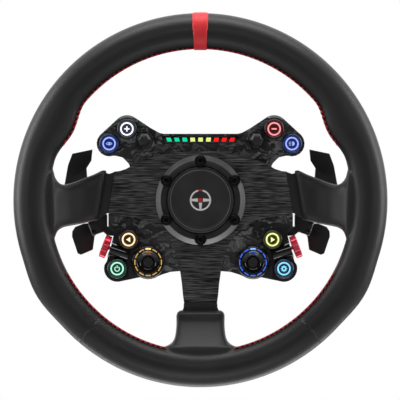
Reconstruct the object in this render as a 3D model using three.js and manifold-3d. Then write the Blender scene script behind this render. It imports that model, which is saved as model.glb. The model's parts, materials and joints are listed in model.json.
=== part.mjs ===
// Racing wheel: a leather rim on a metal spoke plate, a button housing behind it, paddles and a
// quick-release hub. Millimetres. X is the driver's right, +Y points away from the driver along the
// wheel's axis, +Z is twelve o'clock. The origin is on the axis, in the hub's rear face.
import * as THREE from 'three';
import { LoftGeometry } from 'three/addons/geometries/LoftGeometry.js';
import { mergeVertices } from 'three/addons/utils/BufferGeometryUtils.js';
import Module from 'manifold-3d';

const wasm = await Module();
wasm.setup();

// ---- driving dimensions ----

const GAP = 0.35; // clearance between pieces that touch
const DEGREE = Math.PI / 180;

const RIM = { radius: 149, y: -85, halfWidth: 16, halfDepth: 15 };
const THUMB_BUMP = { at: 62, half: 13, rise: 6 }; // on the inside of the rim
const PALM_SWELL = { at: 120, half: 13, rise: 2.3 }; // on the outside of the rim
const MARKER_HALF_ANGLE = 2.6;
const SEAM_ANGLE = 139.5; // where the bottom grip meets the side grips
const HOOP_RADIUS = 6; // metal hoop inside the rim

const PLATE = { back: -62.35, thick: 4 };
const ARM = { start: 70, knee: 100, end: 146, halfWidth: 9, rise: 20.6 };
const BOLT_CIRCLE = 35; // radius
const BOLT_HOLE = 3.1;
const SCREW = { shank: 2.5, head: 5, headHeight: 4 };
const RING = { inner: 29.8, band: 35.5, outer: 40, back: -66.7, front: -71, bandFront: -69 };
const CAP = { outer: 29.3, flat: 26.8, skirt: 23.5, front: -75.2 };

const HOUSING = { back: -50.35, front: -60, deck: -62.5, hollow: -56.8 };
const COVER = { back: -36.05, wall: 2.2 };
const BOARD = { back: -45, thick: 1.6 };
const HUB = { barrel: 27, flange: 42, flangeBack: -28, spigot: 26, socket: 16, socketDepth: 24 };
const COLLAR = { inner: 27.4, outer: 34, back: -4, front: -18 };
const WAVE_SPRING = { inner: 27.4, outer: 32, back: -25.4, front: -27.6 };

const BUTTON = { radius: 8.8, hole: 9.2, back: -61.4, front: -66.6, floor: -59.2, stem: 2.4, tail: -52.5 };
const WING_BUTTONS = [['top', 65.3, 63.1], ['side', 81.1, 50.0]];
const POD_BUTTONS = [['arrow', 63.8, -35.1], ['lower', 74.0, -60.9]];
const DIAL = { x: 46.5, z: -55.2, bezel: 14.5, throat: 11.4, bezelFront: -65.5, knob: 10.5 };
const TOGGLE = { x: 50, z: 53.3, width: 11.6, height: 10.7, front: -69, back: -64 };
const WINDOW = { top: 56.7, bottom: 50.6, halfTop: 35, halfBottom: 31.5 };
const LAMPS = { count: 9, pitch: 7, z: 53.5 };

const THUMB_WHEEL = { x: 84.6, y: -57, z: -41.5, tilt: 20.6, radius: 9.8, thick: 5.8, ridges: 18 };
const BARREL = { radius: 8.2, from: 4.6, to: 22, back: -52 };

const PIN = { x: 53, y: -26.5, radius: 1.5, bottom: -32, top: 14.5 };
const BRACKET = { inner: 44.5, outer: 60, back: -21, front: -35.7 };
const SHIFT_ARM = { bottom: -8, top: 10, back: -27.5, front: -30.5 };
const CLUTCH_ARM = { bottom: -28, top: -13, back: -27.5, front: -30.5 };
const KNUCKLE = { radius: 4, hole: 1.9 };

// ---- outlines, as points (x, z) ----

function at(x, z) {
  return new THREE.Vector2(x, z);
}

function arc(x, z, radius, from, to, steps) {
  const points = [];
  for (let i = 0; i <= steps; i++) {
    const angle = (from + (to - from) * i / steps) * DEGREE;
    points.push(at(x + radius * Math.cos(angle), z + radius * Math.sin(angle)));
  }
  return points;
}

// A right-hand half outline from top centre to bottom centre, closed by its mirror image.
function mirrored(half) {
  const left = half.map((p) => at(-p.x, p.y)).reverse();
  return [...half, ...left].filter((p, i, all) => i === 0 || p.distanceTo(all[i - 1]) > 1e-6)
    .filter((p, i, all) => i < all.length - 1 || p.distanceTo(all[0]) > 1e-6);
}

function flipped(points) {
  return points.map((p) => at(-p.x, p.y)).reverse();
}

function scaled(points, factor) {
  return points.map((p) => p.clone().multiplyScalar(factor));
}

const PLATE_OUTLINE = mirrored([
  at(0, 43.5), at(10.5, 43.3), at(20.7, 42.7), at(31, 40.9), at(41.5, 38.4), at(51.4, 35.3),
  at(60.2, 30.9), at(66, 27.6), at(71.5, 25.8), at(76.7, 25.2), at(82.6, -11.7), at(58.7, -15.8),
  at(48.1, -18.3), at(41, -21.4), at(36.8, -24), at(30.5, -31.6), at(26, -37), at(23.7, -42),
  at(21.8, -48.3), at(18.1, -63.3), at(16.6, -74), at(15.6, -84.7), at(14.7, -90.9), at(0, -90.9),
]);

const WING_OUTLINE = [
  at(33, 58.8), at(36.8, 59.8), at(44.3, 63.9), at(59.3, 73.9), ...arc(65.3, 63.1, 12.3, 112, 48, 5),
  ...arc(81.1, 50.0, 11.3, 42, -108, 8), at(75.5, 39.2), at(69.3, 37.7), at(64.3, 32.7), at(63.1, 30.5),
];

const POD_OUTLINE = [
  at(82, -12.2), at(82, -25), at(76.8, -29.6), at(83.4, -54.5), ...arc(74.0, -60.9, 11.9, 15, -95, 8),
  ...arc(DIAL.x, DIAL.z, 15.3, -62, -125, 5), at(33.7, -66.1), at(26.8, -64.0), at(18.7, -63.3),
];

const HOUSING_OUTLINE = mirrored([
  at(0, 58.8), ...WING_OUTLINE, at(62, 20), at(62, -12.2), ...POD_OUTLINE, at(0, -63.3),
]);

const COVER_OUTLINE = mirrored([
  at(0, 56), at(32, 56), at(44, 60), at(60, 70.5), ...arc(65.3, 63.1, 9.5, 110, 45, 4),
  ...arc(81.1, 50.0, 8.8, 42, -100, 6), at(66, 37), at(60, 30), at(60, -32), at(74, -32),
  ...arc(73, -60, 9, 10, -95, 5), at(47, -67.5), at(31, -61), at(0, -60.5),
]);

const WING_DECK = [
  at(58.6, 71.0), ...arc(65.3, 63.1, 10.4, 110, 48, 4), ...arc(81.1, 50.0, 9.9, 42, -110, 8),
  at(66, 43.5), at(60, 46.8), at(57.2, 52),
];

const POD_DECK = [
  at(54.2, -32), ...arc(63.8, -35.1, 9.9, 150, 5, 6), at(76, -34.5), at(81.6, -54.5),
  ...arc(74.0, -60.9, 10.3, 15, -95, 6), at(60.5, -70.2), at(62.6, -57), at(58.5, -44.4),
];

const WINDOW_FRAME = [at(-37.6, 58.1), at(37.6, 58.1), at(33.6, 48.8), at(-33.6, 48.8)].reverse();

function windowOutline(grow) {
  const { top, bottom, halfTop, halfBottom } = WINDOW;
  return [
    at(-halfBottom - grow, bottom - grow), at(halfBottom + grow, bottom - grow),
    at(halfTop + grow, top + grow), at(-halfTop - grow, top + grow),
  ];
}

// ---- solids ----

// A closed geometry as a manifold solid, with its shared points merged and its faces outward.
function solid(geometry) {
  const bare = new THREE.BufferGeometry().copy(geometry);
  bare.deleteAttribute('normal');
  bare.deleteAttribute('uv');
  const merged = mergeVertices(bare, 1e-4);
  const index = [...merged.index.array];
  const faces = [];
  for (let i = 0; i < index.length; i += 3) {
    const [a, b, c] = index.slice(i, i + 3);
    if (a !== b && b !== c && c !== a) faces.push(a, b, c);
  }
  const points = merged.attributes.position.array;
  if (signedVolume(points, faces) < 0) faces.reverse();
  return new wasm.Manifold(new wasm.Mesh({
    numProp: 3,
    vertProperties: new Float32Array(points),
    triVerts: new Uint32Array(faces),
  }));
}

function signedVolume(points, faces) {
  let sum = 0;
  const corner = (i) => new THREE.Vector3().fromArray(points, faces[i] * 3);
  for (let i = 0; i < faces.length; i += 3) {
    sum += corner(i).dot(corner(i + 1).cross(corner(i + 2)));
  }
  return sum;
}

function geometryOf(body) {
  const mesh = body.getMesh();
  const geometry = new THREE.BufferGeometry();
  geometry.setAttribute('position', new THREE.BufferAttribute(new Float32Array(mesh.vertProperties), 3));
  geometry.setIndex(new THREE.BufferAttribute(new Uint32Array(mesh.triVerts), 1));
  const flat = geometry.toNonIndexed();
  flat.computeVertexNormals();
  return flat;
}

function joined(...bodies) {
  return bodies.reduce((whole, body) => whole.add(body));
}

// An outline in the X-Z plane, extruded from y = back towards the driver.
function slab(outline, back, front) {
  const geometry = new THREE.ExtrudeGeometry(new THREE.Shape(outline), {
    depth: back - front, bevelEnabled: false, steps: 1,
  });
  geometry.rotateX(Math.PI / 2);
  geometry.translate(0, back, 0);
  return solid(geometry);
}

// A profile of [radius, y] pairs turned about an axis parallel to Y through (x, z).
function turned(profile, sides = 28, x = 0, z = 0) {
  const points = profile.map(([radius, y]) => at(radius, y));
  const geometry = new THREE.LatheGeometry(points, sides);
  geometry.translate(x, 0, z);
  return solid(geometry);
}

function rod(x, z, radius, back, front, sides = 12) {
  return turned([[0, back], [radius, back], [radius, front], [0, front]], sides, x, z);
}

function ringBody(x, z, inner, outer, back, front, sides = 32) {
  return turned([[inner, back], [outer, back], [outer, front], [inner, front], [inner, back]], sides, x, z);
}

// A box by its low and high corners.
function block(low, high) {
  const size = high.map((value, i) => value - low[i]);
  const geometry = new THREE.BoxGeometry(...size);
  geometry.translate(...low.map((value, i) => value + size[i] / 2));
  return solid(geometry);
}

// A cylinder parallel to Z.
function upright(x, y, radius, bottom, top, sides = 16) {
  const geometry = new THREE.CylinderGeometry(radius, radius, top - bottom, sides);
  geometry.rotateX(Math.PI / 2);
  geometry.translate(x, y, (bottom + top) / 2);
  return solid(geometry);
}

// A solid skinned through sections of points, each wound to face the loft's end.
function lofted(sections) {
  const [first, next] = sections;
  const along = next[0].clone().sub(first[0]);
  const spoke = (i) => first[i].clone().sub(first[0]);
  const third = Math.floor(first.length / 3);
  const facing = spoke(third).cross(spoke(2 * third)).dot(along);
  const wound = facing > 0 ? sections : sections.map((points) => [...points].reverse());
  return solid(new LoftGeometry(wound, { capStart: true, capEnd: true }));
}

// ---- the rim ----

function swelling(angle, swell) {
  const offset = Math.abs(Math.abs(angle) - swell.at) / swell.half;
  return offset < 1 ? swell.rise * Math.cos(offset * Math.PI / 2) ** 2 : 0;
}

// One cross section of the rim, at an angle clockwise from twelve o'clock.
function rimSection(angle, proud, sides) {
  const inner = RIM.radius - RIM.halfWidth - swelling(angle, THUMB_BUMP);
  const outer = RIM.radius + RIM.halfWidth + swelling(angle, PALM_SWELL);
  const middle = (inner + outer) / 2;
  const halfWidth = (outer - inner) / 2 + proud;
  const halfDepth = RIM.halfDepth + proud;
  const points = [];
  for (let i = 0; i < sides; i++) {
    const turn = i / sides * 2 * Math.PI;
    const radius = middle + halfWidth * Math.cos(turn);
    const y = RIM.y + halfDepth * Math.sin(turn);
    points.push(new THREE.Vector3(radius * Math.sin(angle * DEGREE), y, radius * Math.cos(angle * DEGREE)));
  }
  return points;
}

function rimLength(from, to, steps, proud = 0, sides = 12) {
  const sections = [];
  for (let i = 0; i <= steps; i++) {
    sections.push(rimSection(from + (to - from) * i / steps, proud, sides));
  }
  return lofted(sections);
}

// A leather spoke pad, lofted between its two edge curves from the inner end into the rim.
// Each station gives the two edge points and the pad's front and back.
function padLength(stations, sides = 12) {
  const sections = stations.map(([edgeA, edgeB, front, back]) => {
    const middle = edgeA.clone().add(edgeB).multiplyScalar(0.5);
    const half = edgeA.clone().sub(edgeB).multiplyScalar(0.5);
    const points = [];
    for (let i = 0; i < sides; i++) {
      const turn = (i + 0.5) / sides * 2 * Math.PI;
      const across = Math.sign(Math.cos(turn)) * Math.abs(Math.cos(turn)) ** 0.55;
      const deep = Math.sign(Math.sin(turn)) * Math.abs(Math.sin(turn)) ** 0.55;
      const y = (front + back) / 2 + deep * (back - front) / 2;
      points.push(new THREE.Vector3(middle.x + half.x * across, y, middle.y + half.y * across));
    }
    return points;
  });
  return lofted(sections);
}

const SIDE_PAD = [
  [at(83.2, 26.2), at(90.2, -17.6), -70.0, -61.0],
  [at(87.0, 26.4), at(94.0, -18.2), -74.5, -60.5],
  [at(94.0, 23.0), at(98.5, -19.4), -75.5, -60.5],
  [at(103.0, 19.5), at(104.5, -20.9), -77.0, -61.5],
  [at(113.5, 15.4), at(114.0, -22.6), -81.5, -65.0],
  [at(122.5, 13.9), at(121.5, -24.2), -87.5, -69.0],
  [at(128.0, 19.5), at(126.3, -27.5), -91.5, -72.0],
  [at(131.0, 28.0), at(129.5, -34.0), -94.0, -74.5],
  [at(141.0, 31.0), at(140.0, -39.0), -94.0, -76.0],
];

const BOTTOM_PAD = [
  [at(18.0, -97.6), at(-18.0, -97.6), -70.0, -61.0],
  [at(21.2, -100.6), at(-21.2, -100.6), -74.5, -60.5],
  [at(21.4, -106.0), at(-21.4, -106.0), -76.0, -61.5],
  [at(21.5, -113.0), at(-21.5, -113.0), -80.5, -64.5],
  [at(22.8, -121.6), at(-22.8, -121.6), -87.0, -69.0],
  [at(26.0, -126.5), at(-26.0, -126.5), -91.0, -72.0],
  [at(32.5, -130.5), at(-32.5, -130.5), -94.0, -74.5],
  [at(36.0, -140.5), at(-36.0, -140.5), -94.0, -76.0],
];

// The flat bar that runs from the plate through a pad to the hoop, along +X.
function spokeBar(grow) {
  const back = PLATE.back + grow;
  const front = PLATE.back - PLATE.thick - grow;
  const outline = [
    at(ARM.start, back), at(ARM.knee, back), at(ARM.end, back - ARM.rise),
    at(ARM.end, front - ARM.rise), at(ARM.knee, front), at(ARM.start, front),
  ];
  const width = 2 * (ARM.halfWidth + grow);
  const geometry = new THREE.ExtrudeGeometry(new THREE.Shape(outline), { depth: width, bevelEnabled: false });
  geometry.translate(0, 0, -width / 2);
  return geometry;
}

function spokeBars(grow) {
  const right = spokeBar(grow).translate(0, 0, -2);
  const left = spokeBar(grow).rotateY(Math.PI).translate(0, 0, -2);
  const bottom = spokeBar(grow).rotateY(Math.PI / 2);
  return joined(solid(right), solid(left), solid(bottom));
}

function hoop(grow) {
  const profile = [];
  const sides = 6;
  for (let i = 0; i <= sides; i++) {
    const turn = (i % sides) / sides * 2 * Math.PI;
    const radius = HOOP_RADIUS + grow;
    profile.push([RIM.radius + radius * Math.cos(turn), RIM.y + radius * Math.sin(turn)]);
  }
  return turned(profile, 42);
}

function boltHoles(radius, back, front) {
  const holes = [];
  for (let i = 0; i < 6; i++) {
    const angle = (90 + 60 * i) * DEGREE;
    holes.push(rod(BOLT_CIRCLE * Math.cos(angle), BOLT_CIRCLE * Math.sin(angle), radius, back, front, 8));
  }
  return joined(...holes);
}

function rimFrame() {
  const front = PLATE.back - PLATE.thick;
  const plate = slab(PLATE_OUTLINE, PLATE.back, front)
    .subtract(rod(0, 0, RING.inner - 3, PLATE.back + 1, front - 1, 32))
    .subtract(boltHoles(BOLT_HOLE, PLATE.back + 1, front - 1));
  return joined(plate, spokeBars(0), hoop(0));
}

function grips() {
  const core = joined(hoop(GAP), spokeBars(GAP));
  const seamGap = 0.12;
  const sideSteps = 32;
  const right = joined(
    rimLength(MARKER_HALF_ANGLE + seamGap, SEAM_ANGLE - seamGap, sideSteps),
    padLength(SIDE_PAD),
  ).subtract(core);
  const mirroredPad = SIDE_PAD.map(([a, b, front, back]) => [at(-a.x, a.y), at(-b.x, b.y), front, back]);
  const left = joined(
    rimLength(-SEAM_ANGLE + seamGap, -MARKER_HALF_ANGLE - seamGap, sideSteps),
    padLength(mirroredPad),
  ).subtract(core);
  const bottom = joined(
    rimLength(SEAM_ANGLE + seamGap, 360 - SEAM_ANGLE - seamGap, 18),
    padLength(BOTTOM_PAD),
  ).subtract(core);
  const band = rimLength(-MARKER_HALF_ANGLE, MARKER_HALF_ANGLE, 3, 0.4).subtract(core);
  return { left, right, bottom, band };
}

// The dark collars that close the gap between the plate and each pad.
function spokeTrims() {
  const core = spokeBars(GAP);
  const sideOutline = [
    at(77.1, 23.4), at(83.1, 24.0), at(89.5, -16.2), at(83.0, -11.5),
  ].reverse();
  const bottomOutline = [
    at(-14.8, -91.3), at(-15.1, -95.6), at(-16.6, -97.15), at(16.6, -97.15), at(15.1, -95.6), at(14.8, -91.3),
  ];
  const build = (outline) => slab(outline, -60.6, -68.2).subtract(core);
  return { right: build(sideOutline), left: build(flipped(sideOutline)), bottom: build(bottomOutline) };
}

// ---- the hub ----

function clampRing() {
  const { inner, band, outer, back, front, bandFront } = RING;
  return turned([[inner, back], [outer, back], [outer, bandFront], [band, front], [inner, front],
    [inner, back]], 36)
    .subtract(boltHoles(BOLT_HOLE, back + 1, front - 1));
}

function centreCap() {
  const { outer, flat, skirt, front } = CAP;
  return turned([[0, -58], [skirt, -58], [skirt, -67.2], [outer, -67.2], [outer, front + 1.6],
    [flat, front], [0, front]], 36);
}

function hubScrew(index) {
  const angle = (90 + 60 * index) * DEGREE;
  const x = BOLT_CIRCLE * Math.cos(angle);
  const z = BOLT_CIRCLE * Math.sin(angle);
  const seat = RING.front - GAP;
  const top = seat - SCREW.headHeight;
  const head = turned([[0, seat], [SCREW.head, seat], [SCREW.head, top + 0.5],
    [SCREW.head - 0.5, top], [0, top]], 16, x, z);
  return head.add(rod(x, z, SCREW.shank, -30, seat - 0.5, 8));
}

function quickReleaseHub() {
  const { barrel, flange, flangeBack, spigot, socket, socketDepth } = HUB;
  const lip = 1.2;
  return turned([
    [socket + lip, 0], [barrel - lip, 0], [barrel, -lip], [barrel, flangeBack], [flange, flangeBack],
    [flange, -35.7], [spigot, -35.7], [spigot, -57.6], [0, -57.6], [0, -socketDepth],
    [socket, -socketDepth], [socket, -lip], [socket + lip, 0],
  ], 36).subtract(boltHoles(BOLT_HOLE, -29.4, -36.5));
}

function releaseCollar() {
  const { inner, outer, back, front } = COLLAR;
  return turned([
    [inner, back], [outer, back], [outer, -9], [outer - 1.5, -10], [outer - 1.5, -12], [outer, -13],
    [outer, front], [inner, front], [inner, back],
  ], 32);
}

// ---- the housing ----

function frontHousing() {
  const { back, front, deck, hollow } = HOUSING;
  let body = slab(HOUSING_OUTLINE, back, front);
  body = joined(
    body, slab(WING_DECK, front + 1, deck), slab(flipped(WING_DECK), front + 1, deck),
    slab(POD_DECK, front + 1, deck), slab(flipped(POD_DECK), front + 1, deck),
    slab(WINDOW_FRAME, front + 1, deck), rod(0, 0, 43, front + 1, PLATE.back + GAP, 36),
  );
  const pocket = slab(scaled(COVER_OUTLINE, 0.96), back + 1, hollow).subtract(rod(0, 0, 44, back + 2, -60, 36));
  body = body.subtract(pocket)
    .subtract(rod(0, 0, HUB.spigot + GAP, back + 1, deck - 1, 36))
    .subtract(boltHoles(BOLT_HOLE, back + 1, deck - 1))
    .subtract(slab(windowOutline(GAP), -58, deck - 1));
  for (const side of [-1, 1]) {
    for (const [, x, z] of [...WING_BUTTONS, ...POD_BUTTONS]) {
      body = body.subtract(rod(side * x, z, BUTTON.hole, BUTTON.floor, deck - 1, 20))
        .subtract(rod(side * x, z, BUTTON.stem + 0.6, back, deck, 8));
    }
    body = body.subtract(rod(side * DIAL.x, DIAL.z, DIAL.bezel + GAP, front, deck - 1, 24))
      .subtract(rod(side * DIAL.x, DIAL.z, DIAL.throat - 0.4, back, deck, 20))
      .subtract(rod(side * TOGGLE.x, TOGGLE.z, 3.5, back, deck))
      .subtract(barrelBlank(side, GAP));
  }
  return body;
}

function rearCover() {
  const { back, wall } = COVER;
  const front = HOUSING.back + GAP;
  const hollow = slab(scaled(COVER_OUTLINE, 0.955), back - wall, front - 1)
    .subtract(rod(0, 0, 42, back, front - 2, 36));
  let body = slab(COVER_OUTLINE, back, front).subtract(hollow)
    .subtract(rod(0, 0, HUB.spigot + GAP, back + 1, front - 1, 36))
    .subtract(boltHoles(BOLT_HOLE, back + 1, front - 1));
  for (const [x, z] of [[52, 48], [-52, 48], [52, -44], [-52, -44]]) {
    body = body.add(rod(x, z, 3, back - 1, BOARD.back + GAP, 12));
  }
  return body;
}

function mainBoard() {
  const front = BOARD.back - BOARD.thick;
  const outline = [
    at(-55, -52), at(55, -52), at(55, 42), at(47, 50), at(-47, 50), at(-55, 42),
  ];
  return slab(outline, BOARD.back, front).subtract(rod(0, 0, 44, BOARD.back + 1, front - 1, 36));
}

function revLightStrip() {
  const strip = slab(windowOutline(-0.6), -58.3, -59.2);
  const lamps = [];
  for (let i = 0; i < LAMPS.count; i++) {
    const x = (i - (LAMPS.count - 1) / 2) * LAMPS.pitch;
    lamps.push(block([x - 2.5, -60.2, LAMPS.z - 1.9], [x + 2.5, -59, LAMPS.z + 1.9]));
  }
  return joined(strip, ...lamps);
}

function revLightWindow() {
  return slab(windowOutline(0), -60.55, -62.7);
}

// ---- controls on the housing ----

function button(x, z) {
  const { radius, back, front, stem, tail } = BUTTON;
  const profile = [[0, back], [radius, back], [radius, front + 0.6], [radius - 0.6, front], [0, front]];
  const cap = turned(profile, 24, x, z);
  return cap.add(rod(x, z, stem, tail, back - 0.5, 8));
}

function dialBezel(x) {
  const { bezel, throat, bezelFront } = DIAL;
  const back = HOUSING.front - GAP;
  return turned([[throat, back], [bezel, back], [bezel, bezelFront + 0.8], [bezel - 0.8, bezelFront],
    [throat, bezelFront], [throat, back]], 28, x, DIAL.z);
}

function joystickYoke(x) {
  return ringBody(x, DIAL.z, 6.8, 9, -59.2, -60.8, 16);
}

function joystickStem(x) {
  return rod(x, DIAL.z, 6.3, -59.2, -60.8, 16).add(rod(x, DIAL.z, 2.1, -57.5, -65, 8));
}

function dialKnob(x) {
  const r = DIAL.knob;
  return turned([[2.7, -62.2], [r, -62.2], [r, -66], [r - 0.8, -66.6], [7.6, -65.2], [4.9, -64.6],
    [4.9, -63], [2.7, -63], [2.7, -62.2]], 24, x, DIAL.z);
}

function dialNub(x) {
  return turned([[2.5, -63.95], [4.3, -63.95], [4.3, -66.6], [3.7, -67.2], [0, -67.2], [0, -66.2],
    [2.5, -66.2], [2.5, -63.95]], 16, x, DIAL.z);
}

function toggle(x) {
  const halfWidth = TOGGLE.width / 2;
  const halfHeight = TOGGLE.height / 2;
  const outline = [
    at(x - halfWidth, TOGGLE.z), at(x - halfWidth * 0.55, TOGGLE.z - halfHeight),
    at(x + halfWidth * 0.55, TOGGLE.z - halfHeight), at(x + halfWidth, TOGGLE.z),
    at(x + halfWidth * 0.55, TOGGLE.z + halfHeight), at(x - halfWidth * 0.55, TOGGLE.z + halfHeight),
  ];
  return slab(outline, TOGGLE.back, TOGGLE.front).add(rod(x, TOGGLE.z, 2, -54, TOGGLE.back - 0.5, 12));
}

// The thumb wheel's axis runs outward and up; local +Y of its parts lies along it.
function thumbWheelPose(side) {
  const tilt = THUMB_WHEEL.tilt * DEGREE;
  const axis = new THREE.Vector3(side * Math.cos(tilt), 0, Math.sin(tilt));
  const turn = new THREE.Quaternion().setFromUnitVectors(new THREE.Vector3(0, 1, 0), axis);
  return new THREE.Matrix4().compose(
    new THREE.Vector3(side * THUMB_WHEEL.x, THUMB_WHEEL.y, THUMB_WHEEL.z), turn, new THREE.Vector3(1, 1, 1),
  );
}

function onWheelAxis(geometry, side) {
  return solid(geometry.applyMatrix4(thumbWheelPose(side)));
}

function thumbWheel(side) {
  const { radius, thick, ridges } = THUMB_WHEEL;
  const rim = [];
  for (let i = 0; i < ridges * 2; i++) {
    const angle = (i + 0.5) * Math.PI / ridges;
    const r = i % 2 ? radius - 1.2 : radius;
    rim.push(at(r * Math.cos(angle), r * Math.sin(angle)));
  }
  const disc = new THREE.ExtrudeGeometry(new THREE.Shape(rim), { depth: thick, bevelEnabled: false });
  disc.translate(0, 0, -thick / 2).rotateX(Math.PI / 2);
  const shaftEnd = BARREL.from + 9;
  const shaft = new THREE.CylinderGeometry(1.8, 1.8, shaftEnd, 12).translate(0, -shaftEnd / 2, 0);
  return onWheelAxis(disc, side).add(onWheelAxis(shaft, side));
}

function barrelBlank(side, grow) {
  const length = BARREL.to - BARREL.from + 2 * grow;
  const blank = new THREE.CylinderGeometry(BARREL.radius + grow, BARREL.radius + grow, length, 24);
  return onWheelAxis(blank.translate(0, -(BARREL.from + BARREL.to) / 2, 0), side);
}

function encoderBarrel(side) {
  const bore = new THREE.CylinderGeometry(2.3, 2.3, 12, 16).translate(0, -BARREL.from - 5, 0);
  let body = barrelBlank(side, 0).subtract(onWheelAxis(bore, side));
  for (const [, x, z] of POD_BUTTONS) {
    body = body.subtract(rod(side * x, z, BUTTON.hole + 0.5, -40, -75, 28));
  }
  body = body.subtract(rod(side * DIAL.x, DIAL.z, DIAL.bezel + 1, -40, -75, 32));
  return body.subtract(block([-100, BARREL.back, -100], [100, -30, 100]));
}

// ---- paddles and their brackets ----

function paddleBracket(side) {
  const { inner, outer, back, front } = BRACKET;
  const low = Math.min(side * inner, side * outer);
  const high = Math.max(side * inner, side * outer);
  const shelf = (bottom, top) => block([low, front, bottom], [high, back, top]);
  const wall = block([low, front, PIN.bottom + 1], [high, front + 2, PIN.top - 1]);
  return joined(wall, shelf(-31.5, -28.4), shelf(-12.6, -8.4), shelf(10.4, 13.5))
    .subtract(upright(side * PIN.x, PIN.y, PIN.radius + GAP, PIN.bottom - 1, PIN.top + 1));
}

function paddlePin(side) {
  return upright(side * PIN.x, PIN.y, PIN.radius, PIN.bottom, PIN.top, 12);
}

// An arm that hangs on the hinge pin: a knuckle and a flat outline.
function paddleArm(side, arm, outline) {
  const points = side < 0 ? flipped(outline) : outline;
  return joined(
    upright(side * PIN.x, PIN.y, KNUCKLE.radius, arm.bottom, arm.top, 20),
    slab(points, arm.back, arm.front),
  ).subtract(upright(side * PIN.x, PIN.y, KNUCKLE.hole, arm.bottom - 1, arm.top + 1));
}

// A blade cut from sheet: its outline in X-Z, folded towards the driver beyond a crease line.
function blade(side, outline, arm, crease) {
  const points = side < 0 ? flipped(outline) : outline;
  const outward = at(side * crease.outward[0], crease.outward[1]).normalize();
  const offset = at(side * crease.start[0], crease.start[1]).dot(outward);
  const [tab, root] = slab(points, arm.back, arm.front).splitByPlane([outward.x, 0, outward.y], offset);
  const lean = -crease.slope;
  const fold = [
    1, lean * outward.x, 0, 0,
    0, 1, 0, 0,
    0, lean * outward.y, 1, 0,
    0, -lean * offset, 0, 1,
  ];
  return joined(root, tab.transform(fold));
}

const SHIFT_OUTLINE = [at(53, -8), at(97, -8), at(97, 10), at(53, 10)];

const SHIFT_BLADE = [
  at(96, -8), at(96, 10), at(102.0, 19.6), at(102.6, 28.2), at(98.2, 35), at(97.1, 45), at(115, 41.2),
  at(119, 30.8), at(122.4, 13.1), at(119.5, 4), at(112, -8),
].reverse();
const SHIFT_CREASE = { start: [102.5, 28.2], outward: [0.59, 0.81], slope: 0.42 };

const CLUTCH_OUTLINE = [
  at(53, -28), at(72, -28), at(78, -32.8), at(84, -32.3), at(87.5, -29.2), at(97.2, -32.6), at(102.5, -18.2),
  at(101, -13), at(53, -13),
];
const CLUTCH_SLOT = { near: 82.1, far: 83.9, bottom: -24 };

const CLUTCH_BLADE = [
  at(91, -28), at(95.5, -33), at(96, -37), at(97, -45), at(107.5, -49.5), at(110.5, -48.2),
  at(115.6, -33), at(115.4, -28.4), at(112.8, -24.4), at(105.5, -21.5), at(92, -20.5),
];
const CLUTCH_CREASE = { start: [102.9, -18], outward: [1, -0.37], slope: 0.3 };

function shiftPaddle(side) {
  return joined(paddleArm(side, SHIFT_ARM, SHIFT_OUTLINE), blade(side, SHIFT_BLADE, SHIFT_ARM, SHIFT_CREASE));
}

function clutchArm(side) {
  const { near, far, bottom } = CLUTCH_SLOT;
  const low = Math.min(side * near, side * far);
  const slot = block([low, CLUTCH_ARM.front - 1, bottom], [low + far - near, CLUTCH_ARM.back + 1, 0]);
  return paddleArm(side, CLUTCH_ARM, CLUTCH_OUTLINE).subtract(slot);
}

// The clutch blade lies behind its arm.
function clutchBlade(side) {
  const sheet = { back: CLUTCH_ARM.back + GAP + 2.5, front: CLUTCH_ARM.back + GAP };
  return blade(side, CLUTCH_BLADE, sheet, CLUTCH_CREASE);
}

// ---- assembly ----

const FINISH = {
  leather: { color: 0x252526, roughness: 0.5, metalness: 0 },
  redLeather: { color: 0xb8262c, roughness: 0.5, metalness: 0 },
  brushed: { color: 0x333333, roughness: 0.45, metalness: 0.8 },
  steel: { color: 0x101012, roughness: 0.35, metalness: 0.8 },
  rubber: { color: 0x151515, roughness: 0.8, metalness: 0 },
  ring: { color: 0x4a4a4c, roughness: 0.4, metalness: 0.7 },
  cap: { color: 0x2a2a2b, roughness: 0.4, metalness: 0.1 },
  carbon: { color: 0x303236, roughness: 0.25, metalness: 0.1 },
  plastic: { color: 0x18181a, roughness: 0.5, metalness: 0 },
  gloss: { color: 0x0c0c0e, roughness: 0.12, metalness: 0 },
  board: { color: 0x10351f, roughness: 0.6, metalness: 0 },
  redMetal: { color: 0xd01828, roughness: 0.3, metalness: 0.8 },
  paddle: { color: 0x1b1b1c, roughness: 0.45, metalness: 0.4 },
  alloy: { color: 0x8c8e92, roughness: 0.4, metalness: 0.8 },
};

const group = new THREE.Group();

function place(name, body, finish) {
  const mesh = new THREE.Mesh(geometryOf(body), new THREE.MeshStandardMaterial(FINISH[finish]));
  mesh.name = name;
  group.add(mesh);
}

function addRim() {
  const { left, right, bottom, band } = grips();
  const trims = spokeTrims();
  place('rim_frame', rimFrame(), 'brushed');
  place('grip_left', left, 'leather');
  place('grip_right', right, 'leather');
  place('grip_bottom', bottom, 'leather');
  place('marker_band', band, 'redLeather');
  place('spoke_trim_left', trims.left, 'rubber');
  place('spoke_trim_right', trims.right, 'rubber');
  place('spoke_trim_bottom', trims.bottom, 'rubber');
}

function addHub() {
  place('clamp_ring', clampRing(), 'ring');
  place('centre_cap', centreCap(), 'cap');
  for (let i = 0; i < 6; i++) {
    place(`hub_screw_${i + 1}`, hubScrew(i), 'steel');
  }
  place('quick_release_hub', quickReleaseHub(), 'alloy');
  place('release_collar', releaseCollar(), 'ring');
  const { inner, outer, back, front } = WAVE_SPRING;
  place('wave_spring', ringBody(0, 0, inner, outer, back, front, 28), 'alloy');
}

function addHousing() {
  place('front_housing', frontHousing(), 'carbon');
  place('rear_cover', rearCover(), 'plastic');
  place('main_board', mainBoard(), 'board');
  place('rev_light_strip', revLightStrip(), 'board');
  place('rev_light_window', revLightWindow(), 'gloss');
}

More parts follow.
